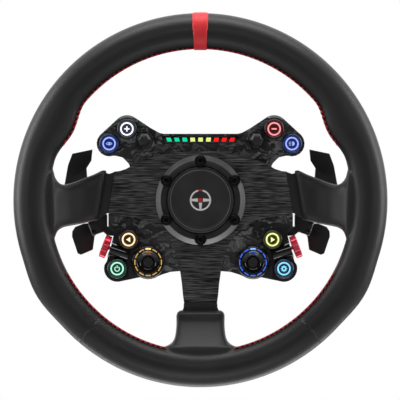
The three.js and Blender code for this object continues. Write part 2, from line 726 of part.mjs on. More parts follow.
function addControls(side, word) {
  for (const [where, x, z] of [...WING_BUTTONS, ...POD_BUTTONS]) {
    place(`button_${where}_${word}`, button(side * x, z), 'gloss');
  }
  const x = side * DIAL.x;
  place(`dial_bezel_${word}`, dialBezel(x), 'plastic');
  place(`joystick_yoke_${word}`, joystickYoke(x), 'alloy');
  place(`joystick_stem_${word}`, joystickStem(x), 'alloy');
  place(`dial_knob_${word}`, dialKnob(x), 'gloss');
  place(`dial_nub_${word}`, dialNub(x), 'gloss');
  place(`toggle_${word}`, toggle(side * TOGGLE.x), 'plastic');
  place(`encoder_barrel_${word}`, encoderBarrel(side), 'gloss');
  place(`thumb_wheel_${word}`, thumbWheel(side), 'redMetal');
}

function addPaddles(side, word) {
  place(`paddle_bracket_${word}`, paddleBracket(side), 'plastic');
  place(`paddle_pin_${word}`, paddlePin(side), 'steel');
  place(`shift_paddle_${word}`, shiftPaddle(side), 'paddle');
  place(`clutch_arm_${word}`, clutchArm(side), 'paddle');
  place(`clutch_blade_${word}`, clutchBlade(side), 'paddle');
}

addRim();
addHub();
addHousing();
for (const [side, word] of [[-1, 'left'], [1, 'right']]) {
  addControls(side, word);
  addPaddles(side, word);
}

export default group;
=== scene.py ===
"""Racing wheel: the looks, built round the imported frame.

The axes are the frame's own: X to the driver's right, +Y away from the driver, +Z to twelve o'clock.
Sizes and mesh tools are in millimetres and scaled by MM. Node inputs and the stage are in metres.
"""

import json
import math

import bmesh
import bpy
from mathutils import Matrix, Vector


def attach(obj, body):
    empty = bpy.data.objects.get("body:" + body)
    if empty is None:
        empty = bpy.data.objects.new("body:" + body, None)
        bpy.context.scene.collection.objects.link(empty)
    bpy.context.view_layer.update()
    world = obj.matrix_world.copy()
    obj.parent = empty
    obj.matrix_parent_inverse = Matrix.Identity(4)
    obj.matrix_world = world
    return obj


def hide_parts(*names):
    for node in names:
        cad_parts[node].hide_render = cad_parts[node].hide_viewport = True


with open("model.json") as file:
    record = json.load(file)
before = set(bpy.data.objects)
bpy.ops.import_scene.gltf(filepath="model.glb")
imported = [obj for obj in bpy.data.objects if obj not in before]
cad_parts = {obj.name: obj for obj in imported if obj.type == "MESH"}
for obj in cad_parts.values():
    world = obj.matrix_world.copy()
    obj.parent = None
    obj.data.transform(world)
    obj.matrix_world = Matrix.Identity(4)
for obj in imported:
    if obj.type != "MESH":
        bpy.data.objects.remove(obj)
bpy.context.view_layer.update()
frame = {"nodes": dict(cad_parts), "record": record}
MM = 0.001
SIDES = ((-1, "left"), (1, "right"))

# ---- driving sizes, in millimetres ----

RIM_RADIUS, RIM_Y, RIM_HALF_WIDTH, RIM_HALF_DEPTH = 149.0, -85.0, 16.0, 15.0
THUMB_BUMP = (62.0, 13.0, 6.0)  # angle, half width, rise
PALM_SWELL = (120.0, 13.0, 2.3)
MARKER_HALF_ANGLE = 2.6
SEAM_ANGLE = 139.5
BOLT_CIRCLE = 35.0
BUTTONS = {
    "button_top_left": ((-65.3, 63.1), "white", "plus"),
    "button_side_left": ((-81.1, 50.0), "blue", "wiper"),
    "button_top_right": ((65.3, 63.1), "red", "minus"),
    "button_side_right": ((81.1, 50.0), "blue", "headlight"),
    "button_arrow_left": ((-63.8, -35.1), "amber", "arrow_left"),
    "button_lower_left": ((-74.0, -60.9), "green", "power"),
    "button_arrow_right": ((63.8, -35.1), "yellow", "arrow_right"),
    "button_lower_right": ((74.0, -60.9), "cyan", "gear"),
}
BUTTON_RADIUS, BUTTON_FRONT, BUTTON_BACK = 8.8, -66.6, -61.4
LIT_RING = (4.65, 5.95)
DIAL_X, DIAL_Z = 46.5, -55.2
DIAL_BEZEL, DIAL_FRONT = 14.5, -65.5
THUMB_WHEEL = (84.6, -57.0, -41.5)
THUMB_TILT = 20.6
TOGGLE_X, TOGGLE_Z = 50.0, 53.3


# ---- small mesh tools; lengths in millimetres ----

def arc(cx, cz, radius, start, end, steps):
    """Points (x, z) along an arc, angles in degrees from +X towards +Z."""
    points = []
    for i in range(steps + 1):
        a = math.radians(start + (end - start) * i / steps)
        points.append((cx + radius * math.cos(a), cz + radius * math.sin(a)))
    return points


def smooth_by_angle(mesh, degrees):
    """Smooth shading, with edges sharper than the angle kept crisp."""
    mesh.polygons.foreach_set("use_smooth", [True] * len(mesh.polygons))
    mesh.set_sharp_from_angle(angle=math.radians(degrees))


def piece_from(bm, name, material, sharp=38):
    """A new object, in metres, from a bmesh in metres."""
    bmesh.ops.recalc_face_normals(bm, faces=bm.faces)
    mesh = bpy.data.meshes.new(name)
    bm.to_mesh(mesh)
    bm.free()
    smooth_by_angle(mesh, sharp)
    mesh.materials.append(material)
    obj = bpy.data.objects.new(name, mesh)
    bpy.context.scene.collection.objects.link(obj)
    return obj


def skin(bm, rings, loop=False, caps=True):
    """Faces between successive closed rings of points given in millimetres."""
    rows = [[bm.verts.new(Vector(p) * MM) for p in ring] for ring in rings]
    count = len(rows[0])
    pairs = list(zip(rows, rows[1:] + rows[:1])) if loop else list(zip(rows, rows[1:]))
    for low, high in pairs:
        for j in range(count):
            k = (j + 1) % count
            bm.faces.new((low[j], low[k], high[k], high[j]))
    if caps and not loop:
        bm.faces.new(rows[0])
        bm.faces.new(rows[-1])
    return rows


def hexagon(across, angle):
    """Radius at an angle of a hexagon that measures `across` from flat to flat."""
    half = across / 2
    local = (angle + math.pi / 6) % (math.pi / 3) - math.pi / 6
    return half / math.cos(local)


def turned_bm(bm, profile, steps=64, centre=(0, 0), spin=0):
    """Rings about an axis along Y. A profile point is (radius, y) or (radius, y, across flats)."""
    rings = []
    for point in profile:
        ring = []
        for i in range(steps):
            a = 2 * math.pi * i / steps
            radius = hexagon(point[2], a + math.radians(spin)) if len(point) > 2 else point[0]
            ring.append((centre[0] + radius * math.cos(a), point[1], centre[1] + radius * math.sin(a)))
        rings.append(ring)
    skin(bm, rings)


def turned(name, profile, material, steps=64, centre=(0, 0), spin=0, sharp=38):
    """A solid of revolution whose first and last rings are closed by caps."""
    bm = bmesh.new()
    turned_bm(bm, profile, steps, centre, spin)
    return piece_from(bm, name, material, sharp)


def hollow_turned(name, profile, material, steps=96, centre=(0, 0), sharp=38):
    """A ring of revolution: the profile closes on itself."""
    bm = bmesh.new()
    rings = []
    for radius, y in profile:
        rings.append([(centre[0] + radius * math.cos(2 * math.pi * i / steps), y,
                       centre[1] + radius * math.sin(2 * math.pi * i / steps)) for i in range(steps)])
    skin(bm, rings, loop=True)
    return piece_from(bm, name, material, sharp)


def sheet_bm(bm, loops, back, front):
    """A flat solid between y = back and y = front: first loop the outline, others holes."""
    edges = []
    for loop in loops:
        verts = [bm.verts.new(Vector((x, back, z)) * MM) for x, z in loop]
        edges += [bm.edges.new((verts[i], verts[(i + 1) % len(verts)])) for i in range(len(verts))]
    filled = bmesh.ops.triangle_fill(bm, use_beauty=True, use_dissolve=False, edges=edges)
    faces = [g for g in filled["geom"] if isinstance(g, bmesh.types.BMFace)]
    grown = bmesh.ops.extrude_face_region(bm, geom=faces)
    moved = [g for g in grown["geom"] if isinstance(g, bmesh.types.BMVert)]
    bmesh.ops.translate(bm, verts=moved, vec=Vector((0, (front - back) * MM, 0)))


def sheet(name, shapes, back, front, material, bevel=0.0):
    """Flat solids, each a list of loops, as one piece."""
    bm = bmesh.new()
    for loops in shapes:
        sheet_bm(bm, loops, back, front)
    if bevel:
        round_edges(bm, bevel, 2, 40)
    return piece_from(bm, name, material, 40)


def round_edges(bm, width, segments, degrees, slot=-1):
    """Rounds the convex and concave edges sharper than the angle; width in millimetres."""
    limit = math.radians(degrees)
    bm.normal_update()
    edges = [e for e in bm.edges if len(e.link_faces) == 2 and e.calc_face_angle(0) > limit]
    bmesh.ops.bevel(bm, geom=edges, offset=width * MM, segments=segments, profile=0.5,
                    affect="EDGES", clamp_overlap=True, offset_type="OFFSET", material=slot)


def refined(node, material, width=0.4, segments=2, degrees=32, edge=None):
    """A copy of a CAD node with its facets merged and its edges rounded. It replaces the node."""
    bm = bmesh.new()
    bm.from_mesh(frame["nodes"][node].data)
    bmesh.ops.remove_doubles(bm, verts=bm.verts, dist=3e-6)
    bmesh.ops.dissolve_limit(bm, angle_limit=math.radians(0.6), verts=bm.verts, edges=bm.edges)
    round_edges(bm, width, segments, degrees, 1 if edge else -1)
    bmesh.ops.triangulate(bm, faces=[f for f in bm.faces if len(f.verts) > 4])
    obj = piece_from(bm, node + "_shell", material, 40)
    if edge:
        obj.data.materials.append(edge)
    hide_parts(node)
    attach(obj, body_of(node))
    return obj


def body_of(node):
    for body, nodes in frame["record"]["behaviour"]["bodies"].items():
        if node in nodes:
            return body
    raise KeyError(node)


def fitted(obj, node=None, body=None):
    """Says which node a new piece stands for and what it rides on."""
    if node:
        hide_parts(node)
    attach(obj, body or body_of(node))
    return obj


def moved_by(obj, matrix):
    """Applies a placing matrix, in metres, to the mesh, so that the object stays at the origin."""
    obj.data.transform(matrix)
    return obj


# ---- node-building tools ----

def wire(tree, kind, inputs=None, **settings):
    """Adds a node, applies its settings and fills or links its inputs."""
    node = tree.nodes.new(kind)
    for key, value in settings.items():
        setattr(node, key, value)
    for key, value in (inputs or {}).items():
        socket = node.inputs[key]
        if isinstance(value, bpy.types.NodeSocket):
            tree.links.new(value, socket)
        else:
            socket.default_value = value
    return node


def maths(tree, operation, *values):
    """A Math node with its inputs filled in order."""
    return wire(tree, "ShaderNodeMath", dict(enumerate(values)), operation=operation)


def scaled(tree, vector, factor):
    """A Vector Math node that scales a vector."""
    return wire(tree, "ShaderNodeVectorMath", {0: vector, "Scale": factor}, operation="SCALE")


def feed(shader, label, source):
    """Links a node's result to an input of the shader."""
    shader.id_data.links.new(source, shader.inputs[label])


def shader_group(name, inputs, outputs):
    """An empty shader node group with named float, vector or colour sockets."""
    group = bpy.data.node_groups.new(name, "ShaderNodeTree")
    kinds = {"value": "NodeSocketFloat", "vector": "NodeSocketVector", "colour": "NodeSocketColor"}
    for label, kind, default in inputs:
        socket = group.interface.new_socket(label, in_out="INPUT", socket_type=kinds[kind])
        socket.default_value = default
    for label, kind in outputs:
        group.interface.new_socket(label, in_out="OUTPUT", socket_type=kinds[kind])
    return group, group.nodes.new("NodeGroupInput"), group.nodes.new("NodeGroupOutput")


def object_coords(tree):
    return tree.nodes.new("ShaderNodeTexCoord").outputs["Object"]


def ramp(tree, factor, stops):
    """A colour ramp node: stops are (position, colour)."""
    node = tree.nodes.new("ShaderNodeValToRGB")
    elements = node.color_ramp.elements
    while len(elements) < len(stops):
        elements.new(0.5)
    for element, (position, colour) in zip(elements, stops):
        element.position = position
        element.color = (*colour, 1.0)
    tree.links.new(factor, node.inputs["Fac"])
    return node.outputs["Color"]


def span(tree, value, low, high, to_low, to_high):
    """Maps a value from one range to another, clamped."""
    return wire(tree, "ShaderNodeMapRange", {
        "Value": value, "From Min": low, "From Max": high, "To Min": to_low, "To Max": to_high,
    }).outputs["Result"]


def grain_group():
    """Leather grain: small rounded pebbles broken up by a wrinkle noise."""
    group, given, out = shader_group("leather_grain", [("Scale", "value", 900.0)],
                                     [("Height", "value"), ("Mottle", "value")])
    place = object_coords(group)
    warp = wire(group, "ShaderNodeTexNoise", {"Vector": place, "Scale": 260.0, "Detail": 3.0})
    bent = wire(group, "ShaderNodeVectorMath", {0: place, 1: warp.outputs["Color"]}, operation="ADD")
    small = scaled(group, warp.outputs["Color"], 0.0006)
    group.links.new(small.outputs[0], bent.inputs[1])
    cells = wire(group, "ShaderNodeTexVoronoi", {"Vector": bent.outputs[0], "Scale": given.outputs["Scale"]},
                 feature="SMOOTH_F1")
    cells.inputs["Smoothness"].default_value = 0.35
    wrinkle = wire(group, "ShaderNodeTexNoise", {"Vector": place, "Scale": 420.0, "Detail": 4.0})
    inverse = span(group, cells.outputs["Distance"], 0.1, 0.75, 1.0, 0.0)
    height = maths(group, "MULTIPLY", inverse, wrinkle.outputs["Fac"])
    blotch = wire(group, "ShaderNodeTexNoise", {"Vector": place, "Scale": 24.0, "Detail": 5.0})
    group.links.new(height.outputs[0], out.inputs["Height"])
    group.links.new(blotch.outputs["Fac"], out.inputs["Mottle"])
    return group


def brushing_group():
    """Straight brushing along X: long streaks over short ones."""
    group, given, out = shader_group("brushed_grain", [("Across", "value", 1400.0), ("Along", "value", 48.0)],
                                     [("Streaks", "value")])
    place = object_coords(group)
    parts = wire(group, "ShaderNodeSeparateXYZ", {"Vector": place})

    def stretched(along_factor, across_factor, seed):
        x = maths(group, "MULTIPLY", parts.outputs["X"], given.outputs["Along"])
        x = maths(group, "MULTIPLY", x.outputs[0], along_factor)
        z = maths(group, "MULTIPLY", parts.outputs["Z"], given.outputs["Across"])
        z = maths(group, "MULTIPLY", z.outputs[0], across_factor)
        where = wire(group, "ShaderNodeCombineXYZ", {"X": x.outputs[0], "Y": seed, "Z": z.outputs[0]})
        return wire(group, "ShaderNodeTexNoise", {"Vector": where.outputs[0], "Scale": 1.0, "Detail": 1.5,
                                                  "Roughness": 0.5}).outputs["Fac"]
    coarse = stretched(1.0, 1.0, 3.1)
    fine = stretched(2.2, 2.6, 7.7)
    blend = maths(group, "ADD", coarse, fine)
    group.links.new(span(group, blend.outputs[0], 0.72, 1.3, 0.0, 1.0), out.inputs["Streaks"])
    return group


def carbon_group():
    """Chopped carbon: overlapping flakes, each with its own brightness and fibre direction."""
    group, given, out = shader_group("chopped_carbon", [
        ("Scale", "value", 110.0), ("Fibre", "value", 2600.0)], [("Shade", "value"), ("Lines", "value")])
    place = object_coords(group)
    warp = wire(group, "ShaderNodeTexNoise", {"Vector": place, "Scale": 70.0, "Detail": 2.0})
    shift = scaled(group, warp.outputs["Color"], 0.018)
    bent = wire(group, "ShaderNodeVectorMath", {0: place, 1: shift.outputs[0]}, operation="ADD")
    shades = []
    for turn, squeeze, offset in ((0.5, 2.6, 0.0), (-0.9, 3.1, 0.37), (1.9, 2.2, 0.81)):
        mapped = wire(group, "ShaderNodeMapping", {
            "Vector": bent.outputs[0], "Rotation": (0.0, turn, 0.0), "Scale": (1.0, 1.0, squeeze),
            "Location": (offset, offset, offset)})
        flakes = wire(group, "ShaderNodeTexVoronoi", {
            "Vector": mapped.outputs[0], "Scale": given.outputs["Scale"]})
        random = wire(group, "ShaderNodeSeparateColor", {"Color": flakes.outputs["Color"]})
        angle = maths(group, "MULTIPLY", random.outputs["Green"], 3.14)
        spun = wire(group, "ShaderNodeVectorRotate", {"Vector": place, "Angle": angle.outputs[0],
                                                      "Axis": (0.0, 1.0, 0.0)}, rotation_type="AXIS_ANGLE")
        squashed = wire(group, "ShaderNodeMapping", {"Vector": spun.outputs[0], "Scale": (0.04, 0.04, 1.0)})
        fibres = wire(group, "ShaderNodeTexNoise", {"Vector": squashed.outputs[0], "Detail": 1.0})
        group.links.new(given.outputs["Fibre"], fibres.inputs["Scale"])
        lines = span(group, fibres.outputs["Fac"], 0.3, 0.7, 0.55, 1.0)
        shade = maths(group, "MULTIPLY", random.outputs["Red"], lines)
        shades.append((shade.outputs[0], random.outputs["Blue"], lines))
    first = maths(group, "GREATER_THAN", shades[0][1], 0.5)
    second = maths(group, "GREATER_THAN", shades[1][1], 0.55)
    mixed = shades[2][0]
    strand = shades[2][2]
    for choose, (shade, _, lines) in ((second, shades[1]), (first, shades[0])):
        mixed = wire(group, "ShaderNodeMix", {0: choose.outputs[0], 2: mixed, 3: shade}).outputs[0]
        strand = wire(group, "ShaderNodeMix", {0: choose.outputs[0], 2: strand, 3: lines}).outputs[0]
    group.links.new(mixed, out.inputs["Shade"])
    group.links.new(strand, out.inputs["Lines"])
    return group


def smudge_group():
    """Soft uneven patches and fine pits for handled plastic and paint."""
    group, given, out = shader_group("handled_surface", [
        ("Scale", "value", 60.0), ("Pit scale", "value", 2200.0)], [("Patches", "value"), ("Pits", "value")])
    place = object_coords(group)
    patches = wire(group, "ShaderNodeTexNoise", {
        "Vector": place, "Scale": given.outputs["Scale"], "Detail": 4.0})
    pits = wire(group, "ShaderNodeTexNoise", {
        "Vector": place, "Scale": given.outputs["Pit scale"], "Detail": 2.0})
    group.links.new(patches.outputs["Fac"], out.inputs["Patches"])
    group.links.new(pits.outputs["Fac"], out.inputs["Pits"])
    return group


def painted_halo_group():
    """Painted glow of a lit button on its black cap: an even disc and a halo round the lit ring. Lengths in
    metres.
    """
    group, given, out = shader_group("painted_button_halo", [
        ("Centre", "vector", (0.0, 0.0, 0.0)), ("Radius", "value", 0.0052), ("Spread", "value", 0.003),
        ("Edge", "value", 0.0083), ("Disc", "value", 0.3), ("Halo", "value", 1.0)], [("Glow", "value")])
    place = object_coords(group)
    flat = wire(group, "ShaderNodeVectorMath", {0: place, 1: (1.0, 0.0, 1.0)}, operation="MULTIPLY")
    away = wire(group, "ShaderNodeVectorMath", {
        0: flat.outputs[0], 1: given.outputs["Centre"]}, operation="DISTANCE")
    off = maths(group, "SUBTRACT", away.outputs["Value"], given.outputs["Radius"])
    off = maths(group, "ABSOLUTE", off.outputs[0])
    near = maths(group, "DIVIDE", off.outputs[0], given.outputs["Spread"])
    near = span(group, near.outputs[0], 0.0, 1.0, 1.0, 0.0)
    near = maths(group, "POWER", near, 2.0)
    near = maths(group, "MULTIPLY", near.outputs[0], given.outputs["Halo"])
    inside = maths(group, "LESS_THAN", away.outputs["Value"], given.outputs["Edge"])
    disc = maths(group, "MULTIPLY", inside.outputs[0], given.outputs["Disc"])
    total = maths(group, "ADD", near.outputs[0], disc.outputs[0])
    group.links.new(total.outputs[0], out.inputs["Glow"])
    return group


GRAIN = grain_group()
BRUSHING = brushing_group()
CARBON = carbon_group()
SMUDGE = smudge_group()
PAINTED_HALO = painted_halo_group()


# ---- materials ----

def new_material(name):
    material = bpy.data.materials.new(name)
    material.use_nodes = True
    tree = material.node_tree
    return material, tree, tree.nodes["Principled BSDF"]


def placed(tree, group, **values):
    """Places a shader group in a material with its own values."""
    node = tree.nodes.new("ShaderNodeGroup")
    node.node_tree = group
    for label, value in values.items():
        node.inputs[label.replace("_", " ")].default_value = value
    return node


def bump(tree, height, strength, distance):
    return wire(tree, "ShaderNodeBump", {
        "Height": height, "Strength": strength, "Distance": distance}).outputs["Normal"]


def leather(name, dark, light, rough, scale=900.0):
    """Smooth upholstery leather: faint mottling, a fine grain and a soft sheen."""
    material, tree, shader = new_material(name)
    grain = placed(tree, GRAIN, Scale=scale)
    colour = ramp(tree, grain.outputs["Mottle"], [(0.3, dark), (0.7, light)])
    feed(shader, "Base Color", colour)
    feed(shader, "Roughness", span(tree, grain.outputs["Height"], 0.1, 0.6, rough + 0.08, rough))
    feed(shader, "Normal", bump(tree, grain.outputs["Height"], 0.35, 0.00012))
    shader.inputs["Specular IOR Level"].default_value = 0.55
    return material


def plastic(name, colour, rough, pits=0.25, pit_scale=2200.0, coat=0.0, spread=0.1):
    """Moulded or painted surface with uneven gloss and a fine texture."""
    material, tree, shader = new_material(name)
    marks = placed(tree, SMUDGE, Scale=55.0, Pit_scale=pit_scale)
    tint = tuple(min(1.0, c * 1.5 + 0.002) for c in colour)
    feed(shader, "Base Color", ramp(tree, marks.outputs["Patches"], [(0.3, colour), (0.75, tint)]))
    feed(shader, "Roughness", span(tree, marks.outputs["Patches"], 0.3, 0.7, rough, rough + spread))
    if pits:
        feed(shader, "Normal", bump(tree, marks.outputs["Pits"], pits, 0.00006))
    shader.inputs["Coat Weight"].default_value = coat
    shader.inputs["Coat Roughness"].default_value = 0.06
    return material


def metal(name, colour, rough, pit_scale=1500.0, pits=0.12, metallic=1.0, spread=0.1):
    material = plastic(name, colour, rough, pits=pits, pit_scale=pit_scale, spread=spread)
    material.node_tree.nodes["Principled BSDF"].inputs["Metallic"].default_value = metallic
    return material


def brushed(name, dark, light, rough):
    """Anodised sheet, brushed along X. Its streaks are partly real brushing grain and partly painted
    highlight: the brightest streaks are painted glints in the base colour.
    """
    material, tree, shader = new_material(name)
    grain = placed(tree, BRUSHING, Across=1400.0, Along=48.0)
    painted_glint = tuple(c * 3.2 for c in light)
    shades = [(0.15, dark), (0.5, light), (0.9, painted_glint)]
    feed(shader, "Base Color", ramp(tree, grain.outputs["Streaks"], shades))
    feed(shader, "Roughness", span(tree, grain.outputs["Streaks"], 0.0, 1.0, rough + 0.12, rough))
    feed(shader, "Normal", bump(tree, grain.outputs["Streaks"], 0.5, 0.00012))
    shader.inputs["Metallic"].default_value = 0.85
    return material


def carbon(name):
    """Chopped carbon under gloss lacquer, fading to plain black on the outer half of each pod."""
    material, tree, shader = new_material(name)
    flakes = placed(tree, CARBON, Scale=104.0, Fibre=1500.0)
    parts = wire(tree, "ShaderNodeSeparateXYZ", {"Vector": object_coords(tree)})
    outward = maths(tree, "ABSOLUTE", parts.outputs["X"])
    outer = span(tree, outward.outputs[0], 0.055, 0.061, 0.0, 0.85)
    low = span(tree, parts.outputs["Z"], -0.030, -0.022, 1.0, 0.0)
    plain = maths(tree, "MULTIPLY", outer, low)
    keep = maths(tree, "SUBTRACT", 1.0, plain.outputs[0])
    shade = maths(tree, "MULTIPLY", flakes.outputs["Shade"], keep.outputs[0])
    feed(shader, "Base Color", ramp(tree, shade.outputs[0], [
        (0.0, (0.005, 0.005, 0.005)), (0.3, (0.018, 0.018, 0.0183)), (0.55, (0.09, 0.09, 0.092)),
        (1.0, (0.36, 0.36, 0.365))]))
    feed(shader, "Roughness", span(tree, shade.outputs[0], 0.0, 1.0, 0.5, 0.3))
    feed(shader, "Normal", bump(tree, flakes.outputs["Lines"], 0.15, 0.0001))
    shader.inputs["Metallic"].default_value = 0.35
    shader.inputs["Coat Weight"].default_value = 1.0
    shader.inputs["Coat Roughness"].default_value = 0.05
    return material


def glowing(name, colour, strength):
    """A lit lens, its glow a little uneven."""
    material, tree, shader = new_material(name)
    marks = placed(tree, SMUDGE, Scale=900.0, Pit_scale=3000.0)
    dim = tuple(c * 0.82 for c in colour)
    lit = ramp(tree, marks.outputs["Patches"], [(0.25, dim), (0.6, colour)])
    feed(shader, "Emission Color", lit)
    feed(shader, "Base Color", lit)
    shader.inputs["Emission Strength"].default_value = strength
    shader.inputs["Roughness"].default_value = 0.4
    return material


def cap_with_painted_glow(name, centre, colour, disc, halo, spread):
    """A gloss black button cap with the glow of its lit ring painted on as emission: painted glow."""
    material, tree, shader = new_material(name)
    marks = placed(tree, SMUDGE, Scale=90.0, Pit_scale=2600.0)
    glow = placed(tree, PAINTED_HALO, Centre=(centre[0] * MM, 0.0, centre[1] * MM), Disc=disc, Halo=halo,
                  Spread=spread * MM)
    feed(shader, "Emission Color", ramp(tree, glow.outputs["Glow"], [(0.0, (0.0, 0.0, 0.0)), (1.0, colour)]))
    gloss = [(0.3, (0.008, 0.008, 0.009)), (0.8, (0.02, 0.02, 0.022))]
    feed(shader, "Base Color", ramp(tree, marks.outputs["Patches"], gloss))
    feed(shader, "Roughness", span(tree, marks.outputs["Patches"], 0.3, 0.7, 0.22, 0.32))
    shader.inputs["Emission Strength"].default_value = 1.0
    shader.inputs["Coat Weight"].default_value = 0.25
    return material


LEATHER = leather("black_leather", (0.0095, 0.0095, 0.0096), (0.015, 0.015, 0.0152), 0.38)
RED_LEATHER = leather("red_leather", (0.86, 0.022, 0.03), (1.0, 0.036, 0.046), 0.42)
THREAD = plastic("red_thread", (0.42, 0.008, 0.02), 0.6, pits=0.9, pit_scale=3800.0)
BRUSHED = brushed("brushed_black_plate", (0.008, 0.008, 0.0081), (0.075, 0.075, 0.076), 0.38)
TRIM = plastic("trim_rubber", (0.006, 0.006, 0.0062), 0.55, pits=0.4)
RING_BLACK = metal("ring_black", (0.045, 0.045, 0.046), 0.34, metallic=0.8)
RING_BARE = metal("ring_bare_chamfer", (0.27, 0.27, 0.275), 0.36, metallic=0.9)
CAP_SATIN = plastic("cap_satin", (0.022, 0.022, 0.0225), 0.36, pits=0.1, pit_scale=2600.0)
BLACK_STEEL = metal("black_steel", (0.003, 0.003, 0.0033), 0.16, metallic=0.3, spread=0.05)
CARBON_SHELL = carbon("chopped_carbon_shell")
# dark plastic used only for the ring round each toggle: painted shadow
PAINTED_SHADOW_BLACK = plastic("painted_shadow_black", (0.008, 0.008, 0.0085), 0.3, pits=0.3)
MATT_BLACK = plastic("moulded_black", (0.011, 0.011, 0.0115), 0.48, pits=0.5, pit_scale=1500.0)
GLOSS_BLACK = plastic("gloss_black", (0.004, 0.004, 0.0045), 0.1, pits=0.0, coat=1.0, spread=0.06)
RED_METAL = metal("red_anodised", (1.0, 0.10, 0.15), 0.25, metallic=0.75)
TOGGLE_BLACK = plastic("toggle_satin", (0.02, 0.02, 0.0205), 0.28, pits=0.1, coat=0.3)
PADDLE = plastic("paddle_powder_coat", (0.018, 0.018, 0.0185), 0.42, pits=0.5, pit_scale=1300.0)
# lighter colours on the rounded edges of the shift paddles and clutch arms: painted highlight
PADDLE_EDGE_HIGHLIGHT = plastic("paddle_painted_edge_highlight", (0.07, 0.07, 0.072), 0.35, pits=0.4, pit_scale=1300.0)
CLUTCH_EDGE_HIGHLIGHT = metal("clutch_arm_painted_edge_highlight", (0.42, 0.42, 0.43), 0.3, metallic=0.6)
ALLOY = metal("machined_alloy", (0.3, 0.31, 0.33), 0.3)
BOARD = plastic("circuit_board", (0.006, 0.04, 0.02), 0.5)
WHITE_PAINT = plastic("white_paint", (0.96, 0.96, 0.96), 0.4, pits=0.1)
RED_PAINT = plastic("red_paint", (0.7, 0.01, 0.015), 0.4, pits=0.1)

# colours of the lit rings and symbols
LIGHTS = {
    "white": (1.0, 1.0, 1.0), "blue": (0.34, 0.42, 0.95), "red": (0.95, 0.33, 0.36),
    "amber": (1.0, 0.84, 0.50), "green": (0.42, 0.86, 0.62), "yellow": (0.86, 0.95, 0.34),
    "cyan": (0.24, 0.70, 0.86),
}
# painted glow on the caps: halo spread in millimetres, glow colour, disc strength, halo strength
PAINTED_CAP_GLOW = {
    "white": (3.0, (0.10, 0.12, 0.22), 0.12, 0.8), "blue": (3.0, (0.0, 0.017, 0.115), 1.0, 0.1),
    "red": (3.2, (0.26, 0.008, 0.012), 0.10, 0.6), "amber": (3.4, (0.16, 0.07, 0.025), 0.08, 0.8),
    "green": (3.0, (0.004, 0.045, 0.033), 0.7, 0.3), "yellow": (3.4, (0.13, 0.14, 0.02), 0.10, 0.8),
    "cyan": (3.0, (0.008, 0.026, 0.075), 0.9, 0.3),
}
LENS = {name: glowing("lens_" + name, colour, 1.0) for name, colour in LIGHTS.items()}
DASH = {
    -1: glowing("dash_amber", (0.60, 0.36, 0.10), 0.9),
    1: glowing("dash_blue", (0.05, 0.16, 0.85), 0.9),
}
INDEX = {
    -1: glowing("index_amber", (1.0, 0.72, 0.25), 1.0),
    1: glowing("index_blue", (0.25, 0.45, 1.0), 1.0),
}
# two glowing bars on each dial knob's dish below the top index: painted reflection of the lit index
INDEX_REFLECTION = {
    -1: glowing("painted_reflection_amber", (0.30, 0.09, 0.02), 0.9),
    1: glowing("painted_reflection_blue", (0.02, 0.06, 0.35), 0.9),
}
REV_LENS = [
    glowing("rev_green", (0.0, 0.62, 0.30), 0.95), glowing("rev_yellow", (0.72, 0.82, 0.24), 0.95),
    glowing("rev_red", (0.86, 0.004, 0.006), 0.95),
]


# ---- geometry-node trees ----

def geometry_tree(name, inputs):
    """A tree whose inputs are (label, socket type, default); it starts with Geometry and Material."""
    tree = bpy.data.node_groups.new(name, "GeometryNodeTree")
    tree.interface.new_socket("Geometry", in_out="INPUT", socket_type="NodeSocketGeometry")
    for label, kind, default in inputs:
        socket = tree.interface.new_socket(label, in_out="INPUT", socket_type=kind)
        socket.default_value = default
    tree.interface.new_socket("Material", in_out="INPUT", socket_type="NodeSocketMaterial")
    tree.interface.new_socket("Geometry", in_out="OUTPUT", socket_type="NodeSocketGeometry")
    return tree, tree.nodes.new("NodeGroupInput"), tree.nodes.new("NodeGroupOutput")


def finish_tree(tree, given, out, instances):
    real = wire(tree, "GeometryNodeRealizeInstances", {"Geometry": instances})
    dyed = wire(tree, "GeometryNodeSetMaterial", {
        "Geometry": real.outputs["Geometry"], "Material": given.outputs["Material"]})
    tree.links.new(dyed.outputs["Geometry"], out.inputs["Geometry"])
    return tree


def polar_tree():
    """Copies the piece round an axis through a centre."""
    tree, given, out = geometry_tree("round_array", [
        ("Count", "NodeSocketInt", 12), ("Step", "NodeSocketFloat", 0.5),
        ("Centre", "NodeSocketVector", (0.0, 0.0, 0.0)), ("Axis", "NodeSocketVector", (0.0, 1.0, 0.0))])
    home = scaled(tree, given.outputs["Centre"], -1.0)
    centred = wire(tree, "GeometryNodeTransform", {
        "Geometry": given.outputs["Geometry"], "Translation": home.outputs[0]})
    points = wire(tree, "GeometryNodePoints", {
        "Count": given.outputs["Count"], "Position": given.outputs["Centre"]})
    index = tree.nodes.new("GeometryNodeInputIndex")
    angle = maths(tree, "MULTIPLY", index.outputs[0], given.outputs["Step"])
    turn = wire(tree, "FunctionNodeAxisAngleToRotation", {
        "Axis": given.outputs["Axis"], "Angle": angle.outputs[0]})
    copies = wire(tree, "GeometryNodeInstanceOnPoints", {
        "Points": points.outputs[0], "Instance": centred.outputs["Geometry"], "Rotation": turn.outputs[0]})
    return finish_tree(tree, given, out, copies.outputs["Instances"])


def row_tree():
    """Copies the piece along a straight row."""
    tree, given, out = geometry_tree("row_array", [
        ("Count", "NodeSocketInt", 3), ("Offset", "NodeSocketVector", (0.007, 0.0, 0.0))])
    index = tree.nodes.new("GeometryNodeInputIndex")
    where = scaled(tree, given.outputs["Offset"], index.outputs[0])
    points = wire(tree, "GeometryNodePoints", {"Count": given.outputs["Count"], "Position": where.outputs[0]})
    copies = wire(tree, "GeometryNodeInstanceOnPoints", {
        "Points": points.outputs[0], "Instance": given.outputs["Geometry"]})
    return finish_tree(tree, given, out, copies.outputs["Instances"])


